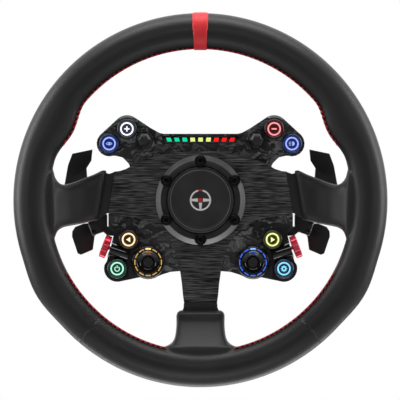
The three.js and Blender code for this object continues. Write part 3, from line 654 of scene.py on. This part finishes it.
def stitch_tree():
    """Cross stitches along a path of edges that runs round the inside of the rim."""
    tree, given, out = geometry_tree("cross_stitch", [
        ("Pitch", "NodeSocketFloat", 0.0045), ("Length", "NodeSocketFloat", 0.0062),
        ("Thickness", "NodeSocketFloat", 0.0005), ("Slant", "NodeSocketFloat", 0.62)])
    path = wire(tree, "GeometryNodeMeshToCurve", {"Mesh": given.outputs["Geometry"]})
    even = wire(tree, "GeometryNodeResampleCurve", {
        "Curve": path.outputs[0], "Length": given.outputs["Pitch"]}, mode="LENGTH")
    half = maths(tree, "MULTIPLY", given.outputs["Length"], 0.5)
    back = maths(tree, "MULTIPLY", half.outputs[0], -1.0)
    start = wire(tree, "ShaderNodeCombineXYZ", {"Y": back.outputs[0], "Z": -0.0005})
    end = wire(tree, "ShaderNodeCombineXYZ", {"Y": half.outputs[0], "Z": -0.0005})
    crown = wire(tree, "ShaderNodeCombineXYZ", {"Z": given.outputs["Thickness"]})
    thread = wire(tree, "GeometryNodeCurveQuadraticBezier", {
        "Resolution": 5, "Start": start.outputs[0], "Middle": crown.outputs[0], "End": end.outputs[0]})
    round_section = wire(tree, "GeometryNodeCurvePrimitiveCircle", {
        "Resolution": 6, "Radius": given.outputs["Thickness"]})
    strand = wire(tree, "GeometryNodeCurveToMesh", {
        "Curve": thread.outputs[0], "Profile Curve": round_section.outputs[0], "Fill Caps": True})
    spot = tree.nodes.new("GeometryNodeInputPosition")
    inward = wire(tree, "ShaderNodeVectorMath", {
        0: spot.outputs[0], 1: (-1.0, 0.0, -1.0)}, operation="MULTIPLY")
    upright = wire(tree, "FunctionNodeAlignRotationToVector", {"Vector": inward.outputs[0]}, axis="Z")
    across = wire(tree, "FunctionNodeAlignRotationToVector", {
        "Rotation": upright.outputs[0], "Vector": (0.0, 1.0, 0.0)}, axis="Y", pivot_axis="Z")
    joint = tree.nodes.new("GeometryNodeJoinGeometry")
    for sign in (1.0, -1.0):
        lean = maths(tree, "MULTIPLY", given.outputs["Slant"], sign)
        spin = wire(tree, "FunctionNodeAxisAngleToRotation", {
            "Axis": (0.0, 0.0, 1.0), "Angle": lean.outputs[0]})
        turn = wire(tree, "FunctionNodeRotateRotation", {
            "Rotation": across.outputs[0], "Rotate By": spin.outputs[0]}, rotation_space="LOCAL")
        copies = wire(tree, "GeometryNodeInstanceOnPoints", {
            "Points": even.outputs[0], "Instance": strand.outputs[0], "Rotation": turn.outputs[0]})
        tree.links.new(copies.outputs["Instances"], joint.inputs["Geometry"])
    return finish_tree(tree, given, out, joint.outputs["Geometry"])


POLAR = polar_tree()
ROW = row_tree()
STITCH = stitch_tree()


def grown(obj, tree, material, sharp=38, **values):
    """Runs a geometry-node tree on a piece and keeps the result as its plain mesh."""
    modifier = obj.modifiers.new("grow", "NODES")
    modifier.node_group = tree
    for item in tree.interface.items_tree:
        if item.item_type != "SOCKET" or item.in_out != "INPUT":
            continue
        if item.name == "Material":
            modifier[item.identifier] = material
        elif item.name in values:
            modifier[item.identifier] = values[item.name]
    bpy.context.view_layer.update()
    evaluated = obj.evaluated_get(bpy.context.evaluated_depsgraph_get())
    mesh = bpy.data.meshes.new_from_object(evaluated)
    obj.modifiers.clear()
    obj.data = mesh
    if not mesh.materials:
        mesh.materials.append(material)
    smooth_by_angle(mesh, sharp)
    return obj


# ---- the leather rim ----

def swelling(angle, swell):
    centre, half, rise = swell
    offset = abs(abs(angle) - centre) / half
    return rise * math.cos(offset * math.pi / 2) ** 2 if offset < 1 else 0.0


def wrapped_angle(angle):
    return (angle + 180.0) % 360.0 - 180.0


def rim_ring(angle, proud=0.0, sides=44):
    """One cross section of the rim at an angle clockwise from twelve o'clock."""
    near = wrapped_angle(angle)
    inner = RIM_RADIUS - RIM_HALF_WIDTH - swelling(near, THUMB_BUMP)
    outer = RIM_RADIUS + RIM_HALF_WIDTH + swelling(near, PALM_SWELL)
    middle, half = (inner + outer) / 2, (outer - inner) / 2 + proud
    depth = RIM_HALF_DEPTH + proud
    ring = []
    for i in range(sides):
        turn = 2 * math.pi * i / sides
        radius = middle + half * math.cos(turn)
        ring.append((radius * math.sin(math.radians(angle)), RIM_Y + depth * math.sin(turn),
                     radius * math.cos(math.radians(angle))))
    return ring


# Stations of a spoke pad, from the plate to the rim: one edge, the other edge, front and back.
SIDE_PAD = (
    ((83.2, 26.2), (90.2, -17.6), -70.0, -61.0),
    ((87.0, 26.4), (94.0, -18.2), -74.5, -60.5),
    ((94.0, 23.0), (98.5, -19.4), -75.5, -60.5),
    ((103.0, 19.5), (104.5, -20.9), -77.0, -61.5),
    ((113.5, 15.4), (114.0, -22.6), -81.5, -65.0),
    ((122.5, 13.9), (121.5, -24.2), -87.5, -69.0),
    ((128.0, 19.5), (126.3, -27.5), -91.5, -72.0),
    ((131.0, 28.0), (129.5, -34.0), -94.0, -74.5),
    ((141.0, 31.0), (140.0, -39.0), -94.0, -76.0),
)
BOTTOM_PAD = (
    ((18.0, -97.6), (-18.0, -97.6), -70.0, -61.0),
    ((21.2, -100.6), (-21.2, -100.6), -74.5, -60.5),
    ((21.4, -106.0), (-21.4, -106.0), -76.0, -61.5),
    ((21.5, -113.0), (-21.5, -113.0), -80.5, -64.5),
    ((22.8, -121.6), (-22.8, -121.6), -87.0, -69.0),
    ((26.0, -126.5), (-26.0, -126.5), -91.0, -72.0),
    ((32.5, -130.5), (-32.5, -130.5), -94.0, -74.5),
    ((36.0, -140.5), (-36.0, -140.5), -94.0, -76.0),
)


def eased(stations, t):
    """A smooth pass through the stations' values at t from 0 to 1."""
    flat = [(*a, *b, front, back) for a, b, front, back in stations]
    place = t * (len(flat) - 1)
    i = min(int(place), len(flat) - 2)
    u = place - i
    p = [flat[max(0, min(len(flat) - 1, j))] for j in (i - 1, i, i + 1, i + 2)]
    values = []
    for a, b, c, d in zip(*p):
        bend = (2 * a - 5 * b + 4 * c - d) * u * u
        twist = (3 * b - a - 3 * c + d) * u ** 3
        values.append(0.5 * (2 * b + (c - a) * u + bend + twist))
    return values


def pad_rings(stations, mirror=1, steps=48, sides=44):
    rings = []
    for k in range(steps + 1):
        ax, az, bx, bz, front, back = eased(stations, k / steps)
        ring = []
        for i in range(sides):
            turn = 2 * math.pi * (i + 0.5) / sides
            across = math.copysign(abs(math.cos(turn)) ** 0.55, math.cos(turn))
            deep = math.copysign(abs(math.sin(turn)) ** 0.55, math.sin(turn))
            x = (ax + bx) / 2 + (ax - bx) / 2 * across
            z = (az + bz) / 2 + (az - bz) / 2 * across
            ring.append((mirror * x, (front + back) / 2 + deep * (back - front) / 2, z))
        rings.append(ring)
    return rings


def grip(name, start, end, pads, proud=0.0, material=None):
    """A length of the rim with its spoke pad, merged into one skin and relaxed at the joint."""
    steps = max(6, round(abs(end - start) * 1.6))
    bm = bmesh.new()
    skin(bm, [rim_ring(start + (end - start) * i / steps, proud) for i in range(steps + 1)])
    for stations, mirror in pads:
        skin(bm, pad_rings(stations, mirror))
    bmesh.ops.recalc_face_normals(bm, faces=bm.faces)
    obj = piece_from(bm, name + "_leather", material or LEATHER, 180)
    remesh = obj.modifiers.new("merge", "REMESH")
    remesh.mode = "VOXEL"
    remesh.voxel_size = 1.35 * MM
    relax = obj.modifiers.new("relax", "SMOOTH")
    relax.iterations = 4
    relax.factor = 0.5
    evaluated = obj.evaluated_get(bpy.context.evaluated_depsgraph_get())
    mesh = bpy.data.meshes.new_from_object(evaluated)
    obj.modifiers.clear()
    obj.data = mesh
    mesh.materials.clear()
    mesh.materials.append(material or LEATHER)
    mesh.polygons.foreach_set("use_smooth", [True] * len(mesh.polygons))
    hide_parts(name)
    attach(obj, "root")
    return obj


def add_grips():
    tuck = 0.32  # degrees by which the rounded ends of two lengths press into each other
    under = MARKER_HALF_ANGLE - 1.0
    grip("grip_right", under, SEAM_ANGLE + tuck, [(SIDE_PAD, 1)])
    grip("grip_left", -SEAM_ANGLE - tuck, -under, [(SIDE_PAD, -1)])
    grip("grip_bottom", SEAM_ANGLE - tuck, 360 - SEAM_ANGLE + tuck, [(BOTTOM_PAD, 1)])
    grip("marker_band", -MARKER_HALF_ANGLE, MARKER_HALF_ANGLE, [], proud=0.75, material=RED_LEATHER)


def stitch_path(name, start, end):
    """Edges along the inner line of the rim, a little in front of its middle."""
    bm = bmesh.new()
    steps = 90
    previous = None
    for i in range(steps + 1):
        angle = start + (end - start) * i / steps
        ring = rim_ring(angle, proud=0.5, sides=72)
        point = ring[40]  # the innermost point is 36; a few steps forward
        vert = bm.verts.new(Vector(point) * MM)
        if previous:
            bm.edges.new((previous, vert))
        previous = vert
    mesh = bpy.data.meshes.new(name)
    bm.to_mesh(mesh)
    bm.free()
    obj = bpy.data.objects.new(name, mesh)
    bpy.context.scene.collection.objects.link(obj)
    return obj


def add_stitches():
    runs = (("upper_right", 3.6, 67.0), ("upper_left", -67.0, -3.6),
            ("lower_right", 120.0, 166.0), ("lower_left", -166.0, -120.0))
    for where, start, end in runs:
        obj = stitch_path("stitching_" + where, start, end)
        grown(obj, STITCH, THREAD, Pitch=0.0046, Length=0.0072, Thickness=0.00066, Slant=0.8)
        fitted(obj, body="root")


# ---- hub, plate and trims ----

def add_plate():
    refined("rim_frame", BRUSHED, width=0.35, segments=2, degrees=35)
    side = [(76.3, 25.0), (81.0, 23.2), (85.2, 24.4), (91.6, -16.6), (82.3, -11.6)]
    bottom = [(-14.8, -90.8), (-15.1, -95.6), (-16.8, -99.5), (16.8, -99.5), (15.1, -95.6), (14.8, -90.8)]
    outlines = {"left": [(-x, z) for x, z in side], "right": side, "bottom": bottom}
    for where, outline in outlines.items():
        trim = sheet("spoke_trim_" + where + "_shell", [[outline]], -60.6, -68.4, TRIM, bevel=1.0)
        fitted(trim, "spoke_trim_" + where)


def cut_by(obj, cutter):
    """Cuts one solid out of another and removes the cutter."""
    modifier = obj.modifiers.new("cut", "BOOLEAN")
    modifier.operation = "DIFFERENCE"
    modifier.solver = "EXACT"
    modifier.object = cutter
    evaluated = obj.evaluated_get(bpy.context.evaluated_depsgraph_get())
    mesh = bpy.data.meshes.new_from_object(evaluated)
    obj.modifiers.clear()
    obj.data = mesh
    bpy.data.objects.remove(cutter)
    return obj


def bolt_centres():
    return arc(0, 0, BOLT_CIRCLE, 90, 390, 5)


def add_clamp_ring():
    profile = [(29.8, -66.75), (39.6, -66.75), (40.0, -67.1), (40.0, -68.7), (39.8, -69.0), (35.6, -70.9),
               (35.3, -71.0), (30.2, -71.0), (29.8, -70.6)]
    ring = hollow_turned("clamp_ring_shell", profile, RING_BLACK, steps=192)
    ring.data.materials.append(RING_BARE)
    cutter_bm = bmesh.new()
    for centre in bolt_centres():
        turned_bm(cutter_bm, [(3.0, -66.0), (3.0, -70.55), (5.35, -70.56), (5.35, -72.5)], 40, centre)
    bmesh.ops.recalc_face_normals(cutter_bm, faces=cutter_bm.faces)
    cutter = piece_from(cutter_bm, "bolt_cutter", RING_BLACK)
    cut_by(ring, cutter)
    for polygon in ring.data.polygons:
        radius = math.hypot(polygon.center.x, polygon.center.z) / MM
        slope = polygon.normal.y
        polygon.material_index = 1 if 35.4 < radius < 39.95 and -0.97 < slope < -0.75 else 0
    smooth_by_angle(ring.data, 30)
    fitted(ring, "clamp_ring")


def add_centre_cap():
    profile = [(23.5, -58.0), (23.5, -67.2), (29.0, -67.2), (29.3, -67.5), (29.3, -73.9), (29.0, -74.2),
               (27.5, -74.3), (27.2, -74.4), (27.0, -75.1), (26.8, -75.2), (26.4, -75.2), (26.0, -74.95),
               (24.0, -74.9), (12.0, -74.95), (3.0, -75.0)]
    cap = turned("centre_cap_shell", profile, CAP_SATIN, steps=128, sharp=50)
    fitted(cap, "centre_cap")
    # a thin bright metal ring where the cap's edge catches light: painted highlight
    edge = hollow_turned("centre_cap_highlight_ring", [
        (26.3, -75.0), (26.85, -75.0), (26.8, -75.28), (26.4, -75.28)], RING_BARE)
    fitted(edge, body="root")
    white = [[arc(0, 0, 9.4, 103, 437, 84) + arc(0, 0, 7.9, 437, 103, 84)]]
    white += [[[(-7.95, 1.1), (-7.95, -0.9), (-2.3, -1.6), (-2.3, 1.6)]],
              [[(7.95, 1.1), (7.95, -0.9), (2.3, -1.6), (2.3, 1.6)]],
              [[(-0.9, -7.95), (0.9, -7.95), (1.5, -2.2), (-1.5, -2.2)]]]
    rim = sheet("emblem_rim", white, -74.8, -75.15, WHITE_PAINT)
    fitted(rim, body="root")
    red = [[band(0, 0, 7.9, 9.4, 80, 100, 8)], [arc(0, 0, 1.9, 0, 350, 35)]]
    mark = sheet("emblem_mark", red, -74.8, -75.2, RED_PAINT)
    fitted(mark, body="root")


def add_hub_screws():
    for i, centre in enumerate(bolt_centres()):
        profile = [(2.4, -31.0), (2.4, -71.3), (4.7, -71.35), (5.0, -71.6), (5.0, -74.7), (4.7, -75.15),
                   (4.2, -75.3), (2.9, -75.3), (2.5, -75.2, 4.6), (2.3, -75.0, 4.2), (2.3, -72.6, 4.2)]
        screw = turned(f"hub_screw_{i + 1}_shell", profile, BLACK_STEEL, steps=48, centre=centre)
        fitted(screw, f"hub_screw_{i + 1}")


# ---- housing ----

def add_housing():
    refined("front_housing", CARBON_SHELL, width=0.7, segments=3, degrees=35)
    refined("rear_cover", MATT_BLACK, width=0.8, segments=3, degrees=35)
    refined("main_board", BOARD, width=0.15, segments=1)
    refined("rev_light_strip", BOARD, width=0.1, segments=1)
    refined("rev_light_window", GLOSS_BLACK, width=0.25, segments=2)
    for _, word in SIDES:
        refined("encoder_barrel_" + word, GLOSS_BLACK, width=0.5, segments=3, degrees=40)


def add_rev_lights():
    """Nine slanted lamps in three colours, set into the window's face."""
    pitch, half_width, half_height, z = 7.0, 2.05, 1.75, 53.6
    for group in range(3):
        for i in range(3):
            k = group * 3 + i - 4
            x = k * pitch
            lean = 0.16 * k
            outline = [(x - half_width + lean, z + half_height), (x + half_width + lean, z + half_height),
                       (x + half_width - lean, z - half_height), (x - half_width - lean, z - half_height)]
            lamp = sheet(f"rev_lamp_{k + 5}", [[outline]], -62.55, -62.85, REV_LENS[group], bevel=0.06)
            fitted(lamp, body="root")


# ---- lit buttons ----

def bar(cx, cz, width, height):
    return [(cx - width / 2, cz - height / 2), (cx + width / 2, cz - height / 2),
            (cx + width / 2, cz + height / 2), (cx - width / 2, cz + height / 2)]


def band(cx, cz, inner, outer, start, end, steps=20):
    """A closed outline of part of a ring."""
    return arc(cx, cz, outer, start, end, steps) + arc(cx, cz, inner, end, start, steps)


def symbol_loops(kind):
    """Outlines of a button's symbol about its own centre, each shape a list of loops."""
    if kind == "plus":
        a, b = 0.58, 2.35
        return [[[(-a, -b), (a, -b), (a, -a), (b, -a), (b, a), (a, a), (a, b), (-a, b), (-a, a), (-b, a),
                  (-b, -a), (-a, -a)]]]
    if kind == "minus":
        return [[bar(0, 0, 4.6, 1.25)]]
    if kind in ("arrow_left", "arrow_right"):
        sign = -1 if kind == "arrow_left" else 1
        return [[[(-1.4 * sign, 2.3), (-1.4 * sign, -2.3), (2.2 * sign, 0)][::sign]]]
    if kind == "power":
        return [[band(0, -0.2, 1.7, 2.5, 125, 415)], [bar(0, 1.7, 0.8, 2.4)]]
    if kind == "gear":
        rim = []
        for i in range(8):
            a = 45 * i
            rim += arc(0, 0, 2.8, a - 9, a + 9, 2) + arc(0, 0, 2.0, a + 15, a + 30, 2)
        return [[rim, arc(0, 0, 1.0, 0, 342, 19)]]
    if kind == "wiper":
        lens = arc(0, -2.2, 3.6, 35, 145, 14) + arc(0, 2.2, 3.6, 215, 325, 14)[1:-1]
        hole = arc(0, -2.2, 3.0, 42, 138, 12) + arc(0, 2.2, 3.0, 222, 318, 12)[1:-1]
        return [[lens, hole], [arc(0.2, -0.1, 0.8, 0, 340, 17)]]
    lamp = [(0.3, 2.0), (0.3, -2.0)] + arc(0.3, 0, 2.0, -80, 80, 12)
    rays = [[bar(-1.7, 1.3 - 1.3 * i, 2.2, 0.5)] for i in range(3)]
    return [[lamp]] + rays


def add_button(name, centre, light, symbol):
    # the cap's painted glow round its lit ring
    spread, glow, disc, halo = PAINTED_CAP_GLOW[light]
    cap_material = cap_with_painted_glow("cap_" + name, centre, glow, disc, halo, spread)
    front, back, r = BUTTON_FRONT, BUTTON_BACK, BUTTON_RADIUS
    profile = [(2.3, -52.6), (2.3, back - 0.1), (r - 0.3, back), (r, back - 0.3), (r, front + 0.9),
               (r - 0.25, front + 0.35), (r - 0.75, front), (r - 1.1, front + 0.12), (6.6, front + 0.22),
               (1.0, front + 0.25)]
    cap = turned(name + "_cap", profile, cap_material, steps=64, centre=centre, sharp=50)
    fitted(cap, name)
    inner, outer = LIT_RING
    lens = LENS[light]
    ring_profile = [(inner, front + 0.4), (outer, front + 0.4), (outer, front + 0.12),
                    (outer - 0.2, front + 0.02), (inner + 0.2, front + 0.02), (inner, front + 0.12)]
    ring = hollow_turned(name + "_ring", ring_profile, lens, steps=64, centre=centre)
    fitted(ring, body=name)
    cx, cz = centre
    shapes = [[[(x + cx, z + cz) for x, z in loop] for loop in loops] for loops in symbol_loops(symbol)]
    mark = sheet(name + "_symbol", shapes, front + 0.4, front + 0.04, lens)
    fitted(mark, body=name)


# ---- dials, thumb wheels, toggles ----

def add_dial(side, word):
    x = side * DIAL_X
    front = DIAL_FRONT
    bezel = hollow_turned("dial_bezel_" + word + "_shell", [
        (11.2, -60.4), (DIAL_BEZEL, -60.4), (DIAL_BEZEL, front + 1.4), (14.2, front + 0.5),
        (13.7, front + 0.05), (13.2, front), (11.45, front + 0.35), (11.2, front + 0.6)],
        GLOSS_BLACK, centre=(x, DIAL_Z))
    fitted(bezel, "dial_bezel_" + word)
    stroke = [[band(x, DIAL_Z, 11.35, 12.25, 79, 101, 6)]]
    dash = sheet("dial_dashes_" + word, stroke, front + 0.5, front + 0.02, DASH[side])
    grown(dash, POLAR, DASH[side], Count=12, Step=math.radians(30), Centre=(x * MM, 0.0, DIAL_Z * MM),
          Axis=(0.0, 1.0, 0.0))
    fitted(dash, body="root")
    stroke = [[band(x, DIAL_Z, 11.2, 12.7, 78.5, 101.5, 6)]]
    index = sheet("dial_index_" + word, stroke, front + 0.5, front - 0.05, INDEX[side], bevel=0.1)
    fitted(index, body="root")
    knob = hollow_turned("dial_knob_" + word + "_shell", [
        (2.7, -62.2), (10.2, -62.2), (10.5, -62.5), (10.5, -65.9), (10.3, -66.3), (9.9, -66.5), (9.5, -66.35),
        (8.6, -65.85), (7.6, -65.25), (6.6, -64.85), (5.7, -64.68), (5.1, -64.75), (4.9, -64.5), (4.9, -63.0),
        (2.7, -63.0)],
        GLOSS_BLACK, centre=(x, DIAL_Z))
    fitted(knob, "dial_knob_" + word)
    # glowing bars on the glossy dish under the lit index: painted reflection of the index
    strokes = [[bar(x, DIAL_Z + 8.7, 4.2, 0.8)], [bar(x, DIAL_Z + 7.4, 4.0, 0.5)]]
    reflection = sheet("dial_index_reflection_" + word, strokes, -65.0, -66.35, INDEX_REFLECTION[side], bevel=0.08)
    fitted(reflection, body="dial_knob_" + word)
    nub = turned("dial_nub_" + word + "_shell", [
        (4.3, -64.0), (4.3, -66.6), (4.1, -66.95), (3.6, -67.15), (2.8, -67.1), (1.6, -66.95), (0.4, -66.9)],
        MATT_BLACK, steps=48, centre=(x, DIAL_Z))
    fitted(nub, "dial_nub_" + word)
    refined("joystick_yoke_" + word, ALLOY, width=0.15, segments=1)
    refined("joystick_stem_" + word, ALLOY, width=0.15, segments=1)


def wheel_matrix(side):
    """From a wheel lying with its axis along Y at the origin to its tilted place, in metres."""
    tilt = math.radians(THUMB_TILT)
    axis = Vector((side * math.cos(tilt), 0.0, math.sin(tilt)))
    turn = Vector((0, 1, 0)).rotation_difference(axis)
    x, y, z = THUMB_WHEEL
    return Matrix.Translation(Vector((side * x, y, z)) * MM) @ turn.to_matrix().to_4x4()


def add_thumb_wheel(side, word):
    node = "thumb_wheel_" + word
    core = turned(node + "_core", [
        (1.8, -13.4), (1.8, -3.3), (6.8, -3.1), (8.2, -2.9), (8.8, -2.4), (8.8, 2.4), (8.2, 2.9), (6.6, 3.1),
        (6.0, 2.7), (1.4, 2.7)], RED_METAL, steps=72)
    moved_by(core, wheel_matrix(side))
    fitted(core, node)
    bm = bmesh.new()
    skin(bm, [[(8.5, y, -1.0), (8.5, y, 1.0), (10.15 - cut, y, 0.55), (10.15 - cut, y, -0.55)]
              for y, cut in ((-2.85, 0.6), (-2.4, 0.0), (2.4, 0.0), (2.85, 0.6))])
    ridges = piece_from(bm, node + "_ridges", RED_METAL, 30)
    grown(ridges, POLAR, RED_METAL, Count=18, Step=math.radians(20), Centre=(0.0, 0.0, 0.0),
          Axis=(0.0, 1.0, 0.0))
    moved_by(ridges, wheel_matrix(side))
    fitted(ridges, body=node)


def add_toggle(side, word):
    """A six-sided cap with a broad chamfer, in a dark ring that stands for the shadow round it: painted
    shadow.
    """
    centre = (side * TOGGLE_X, TOGGLE_Z)
    cap = turned("toggle_" + word + "_shell", [
        (1.5, -58.2), (1.5, -63.9), (5.4, -64.0, 10.7), (5.5, -64.3, 11.0), (5.5, -66.4, 11.0),
        (5.3, -66.9, 10.5), (3.9, -68.5, 7.9), (3.5, -68.85, 7.1), (3.0, -68.95, 6.0)],
        TOGGLE_BLACK, steps=96, centre=centre, spin=90, sharp=26)
    fitted(cap, "toggle_" + word)
    # a dark ring round the cap at deck level: painted shadow
    shadow_ring = hollow_turned("toggle_shadow_ring_" + word, [
        (7.0, -61.8), (7.9, -61.8), (7.9, -62.4), (7.7, -62.6), (7.2, -62.6), (7.0, -62.4)],
        PAINTED_SHADOW_BLACK, steps=64, centre=centre)
    fitted(shadow_ring, body="root")


# ---- paddles and the back ----

def add_paddles():
    for side, word in SIDES:
        # the rounded edges take a lighter material: painted highlight
        refined("shift_paddle_" + word, PADDLE, width=0.7, segments=2, degrees=18, edge=PADDLE_EDGE_HIGHLIGHT)
        refined("clutch_arm_" + word, PADDLE, width=0.55, segments=2, degrees=30, edge=CLUTCH_EDGE_HIGHLIGHT)
        refined("clutch_blade_" + word, PADDLE, width=0.6, segments=3, degrees=20)
        refined("paddle_bracket_" + word, MATT_BLACK, width=0.5, segments=2, degrees=30)
        refined("paddle_pin_" + word, BLACK_STEEL, width=0.3, segments=2, degrees=30)
        for i, (x, z) in enumerate(((98.9, -20.6), (96.3, -28.6))):
            screw = turned(f"clutch_screw_{i + 1}_{word}", [
                (1.0, -25.5), (1.0, -30.6), (1.6, -30.7), (1.75, -30.9), (1.75, -31.5), (1.5, -31.8),
                (1.1, -31.85), (0.9, -31.7, 1.7), (0.9, -31.0, 1.7)],
                BLACK_STEEL, steps=36, centre=(side * x, z))
            fitted(screw, body="clutch_paddle_" + word)


def add_quick_release():
    refined("quick_release_hub", ALLOY, width=0.5, segments=2, degrees=30)
    refined("release_collar", RING_BLACK, width=0.4, segments=2, degrees=30)
    bm = bmesh.new()
    skin(bm, [[(33.6, y, -0.55), (33.6, y, 0.55), (34.2 - cut, y, 0.25), (34.2 - cut, y, -0.25)]
              for y, cut in ((-8.6, 0.4), (-8.2, 0.0), (-4.8, 0.0), (-4.4, 0.4))])
    ridges = piece_from(bm, "collar_knurl", RING_BLACK, 30)
    grown(ridges, POLAR, RING_BLACK, Count=72, Step=math.radians(5), Centre=(0.0, 0.0, 0.0),
          Axis=(0.0, 1.0, 0.0))
    fitted(ridges, body="collar")
    refined("wave_spring", ALLOY, width=0.2, segments=1)
    screw = turned("cover_screws", [
        (1.2, -36.5), (1.2, -36.0), (2.2, -35.95), (2.4, -35.7), (2.3, -35.2), (1.9, -34.9), (1.2, -34.85),
        (0.9, -34.9, 1.8), (0.9, -35.5, 1.8)], BLACK_STEEL, steps=32, centre=(58.0, 60.0))
    grown(screw, ROW, BLACK_STEEL, Count=2, Offset=(-116.0 * MM, 0.0, 0.0))
    fitted(screw, body="root")


# ---- assembly ----

add_grips()
add_stitches()
add_plate()
add_clamp_ring()
add_centre_cap()
add_hub_screws()
add_housing()
add_rev_lights()
for button_name, (button_centre, button_light, button_symbol) in BUTTONS.items():
    add_button(button_name, button_centre, button_light, button_symbol)
for button_side, side_word in SIDES:
    add_dial(button_side, side_word)
    add_thumb_wheel(button_side, side_word)
    add_toggle(button_side, side_word)
add_paddles()
add_quick_release()


# ---- stage, light and camera ----

def add_stage():
    mesh = bpy.data.meshes.new("floor")
    half, near, far, height = 9.0, -9.0, 6.4, -0.60
    corners = [(-half, near, height), (half, near, height), (half, far, height), (-half, far, height)]
    mesh.from_pydata(corners, [], [(0, 1, 2, 3)])
    floor = bpy.data.objects.new("floor", mesh)
    bpy.context.scene.collection.objects.link(floor)
    material, tree, shader = new_material("pale_floor")
    seen = wire(tree, "ShaderNodeLightPath").outputs["Is Camera Ray"]
    feed(shader, "Emission Strength", span(tree, seen, 0.0, 1.0, 0.0, 0.6))
    shader.inputs["Emission Color"].default_value = (1.0, 1.0, 1.0, 1.0)
    shader.inputs["Base Color"].default_value = (0.35, 0.35, 0.35, 1.0)
    shader.inputs["Roughness"].default_value = 0.8
    mesh.materials.append(material)


def add_world():
    """A white studio: brightest all round the sides, dim behind the camera."""
    world = bpy.data.worlds.new("studio")
    bpy.context.scene.world = world
    world.use_nodes = True
    tree = world.node_tree
    tree.nodes.clear()
    direction = wire(tree, "ShaderNodeTexCoord").outputs["Generated"]
    parts = wire(tree, "ShaderNodeSeparateXYZ", {"Vector": direction})
    sideways = ramp(tree, span(tree, parts.outputs["Y"], -1.0, 1.0, 0.0, 1.0), [
        (0.0, (0.02, 0.02, 0.02)), (0.40, (0.03, 0.03, 0.03)), (0.56, (0.12, 0.12, 0.12)),
        (0.70, (1.0, 1.0, 1.0)), (1.0, (1.5, 1.5, 1.5))])
    lift = span(tree, parts.outputs["Z"], -1.0, 1.0, 0.55, 1.25)
    dome = scaled(tree, sideways, lift)
    seen = wire(tree, "ShaderNodeLightPath").outputs["Is Camera Ray"]
    colour = wire(tree, "ShaderNodeMix", {
        0: seen, 6: dome.outputs[0], 7: (1.0, 1.0, 1.0, 1.0)}, data_type="RGBA")
    background = wire(tree, "ShaderNodeBackground", {"Color": colour.outputs[2], "Strength": 1.0})
    final = tree.nodes.new("ShaderNodeOutputWorld")
    tree.links.new(background.outputs[0], final.inputs["Surface"])


def add_softbox(name, place, target, size, power):
    data = bpy.data.lights.new(name, "AREA")
    data.shape = "RECTANGLE"
    data.size, data.size_y = size
    data.energy = power
    lamp = bpy.data.objects.new(name, data)
    bpy.context.scene.collection.objects.link(lamp)
    lamp.location = place
    lamp.rotation_euler = (Vector(target) - Vector(place)).to_track_quat("-Z", "Y").to_euler()


def add_camera():
    """Straight on, wide enough for the rim with a narrow margin."""
    view_width, distance = 0.3526, 3.2
    data = bpy.data.cameras.new("view")
    data.lens_unit = "FOV"
    data.angle = 2 * math.atan(view_width / 2 / distance)
    camera = bpy.data.objects.new("view", data)
    bpy.context.scene.collection.objects.link(camera)
    target = Vector((-0.0003, RIM_Y * MM, 0.0002))
    camera.location = target + Vector((0.03, -distance, 0.03))
    camera.rotation_euler = (target - camera.location).to_track_quat("-Z", "Y").to_euler()
    bpy.context.scene.camera = camera


add_stage()
add_world()
add_softbox("top_box", (0.0, -0.25, 1.15), (0, -0.07, 0), (1.5, 0.5), 11.0)
add_softbox("low_back_box", (0.0, 0.2, -0.57), (0, -0.05, 0), (1.1, 0.4), 4.0)
add_softbox("low_front_box", (0.0, -0.5, -0.55), (0, -0.07, 0), (0.5, 0.06), 0.45)
add_softbox("front_box", (0.0, -1.25, 0.42), (0, -0.07, 0.1), (0.6, 0.16), 0.8)
add_softbox("left_box", (-1.2, -0.12, 0.25), (0, -0.07, 0), (0.4, 1.2), 10.0)
add_softbox("right_box", (1.2, -0.12, 0.25), (0, -0.07, 0), (0.4, 1.2), 8.5)
for edge, word in SIDES:
    add_softbox("spark_" + word, (edge * 0.75, -1.0, 0.12), (0, -0.07, 0), (0.1, 0.35), 0.6)
add_camera()
bpy.context.scene.view_settings.view_transform = "Standard"
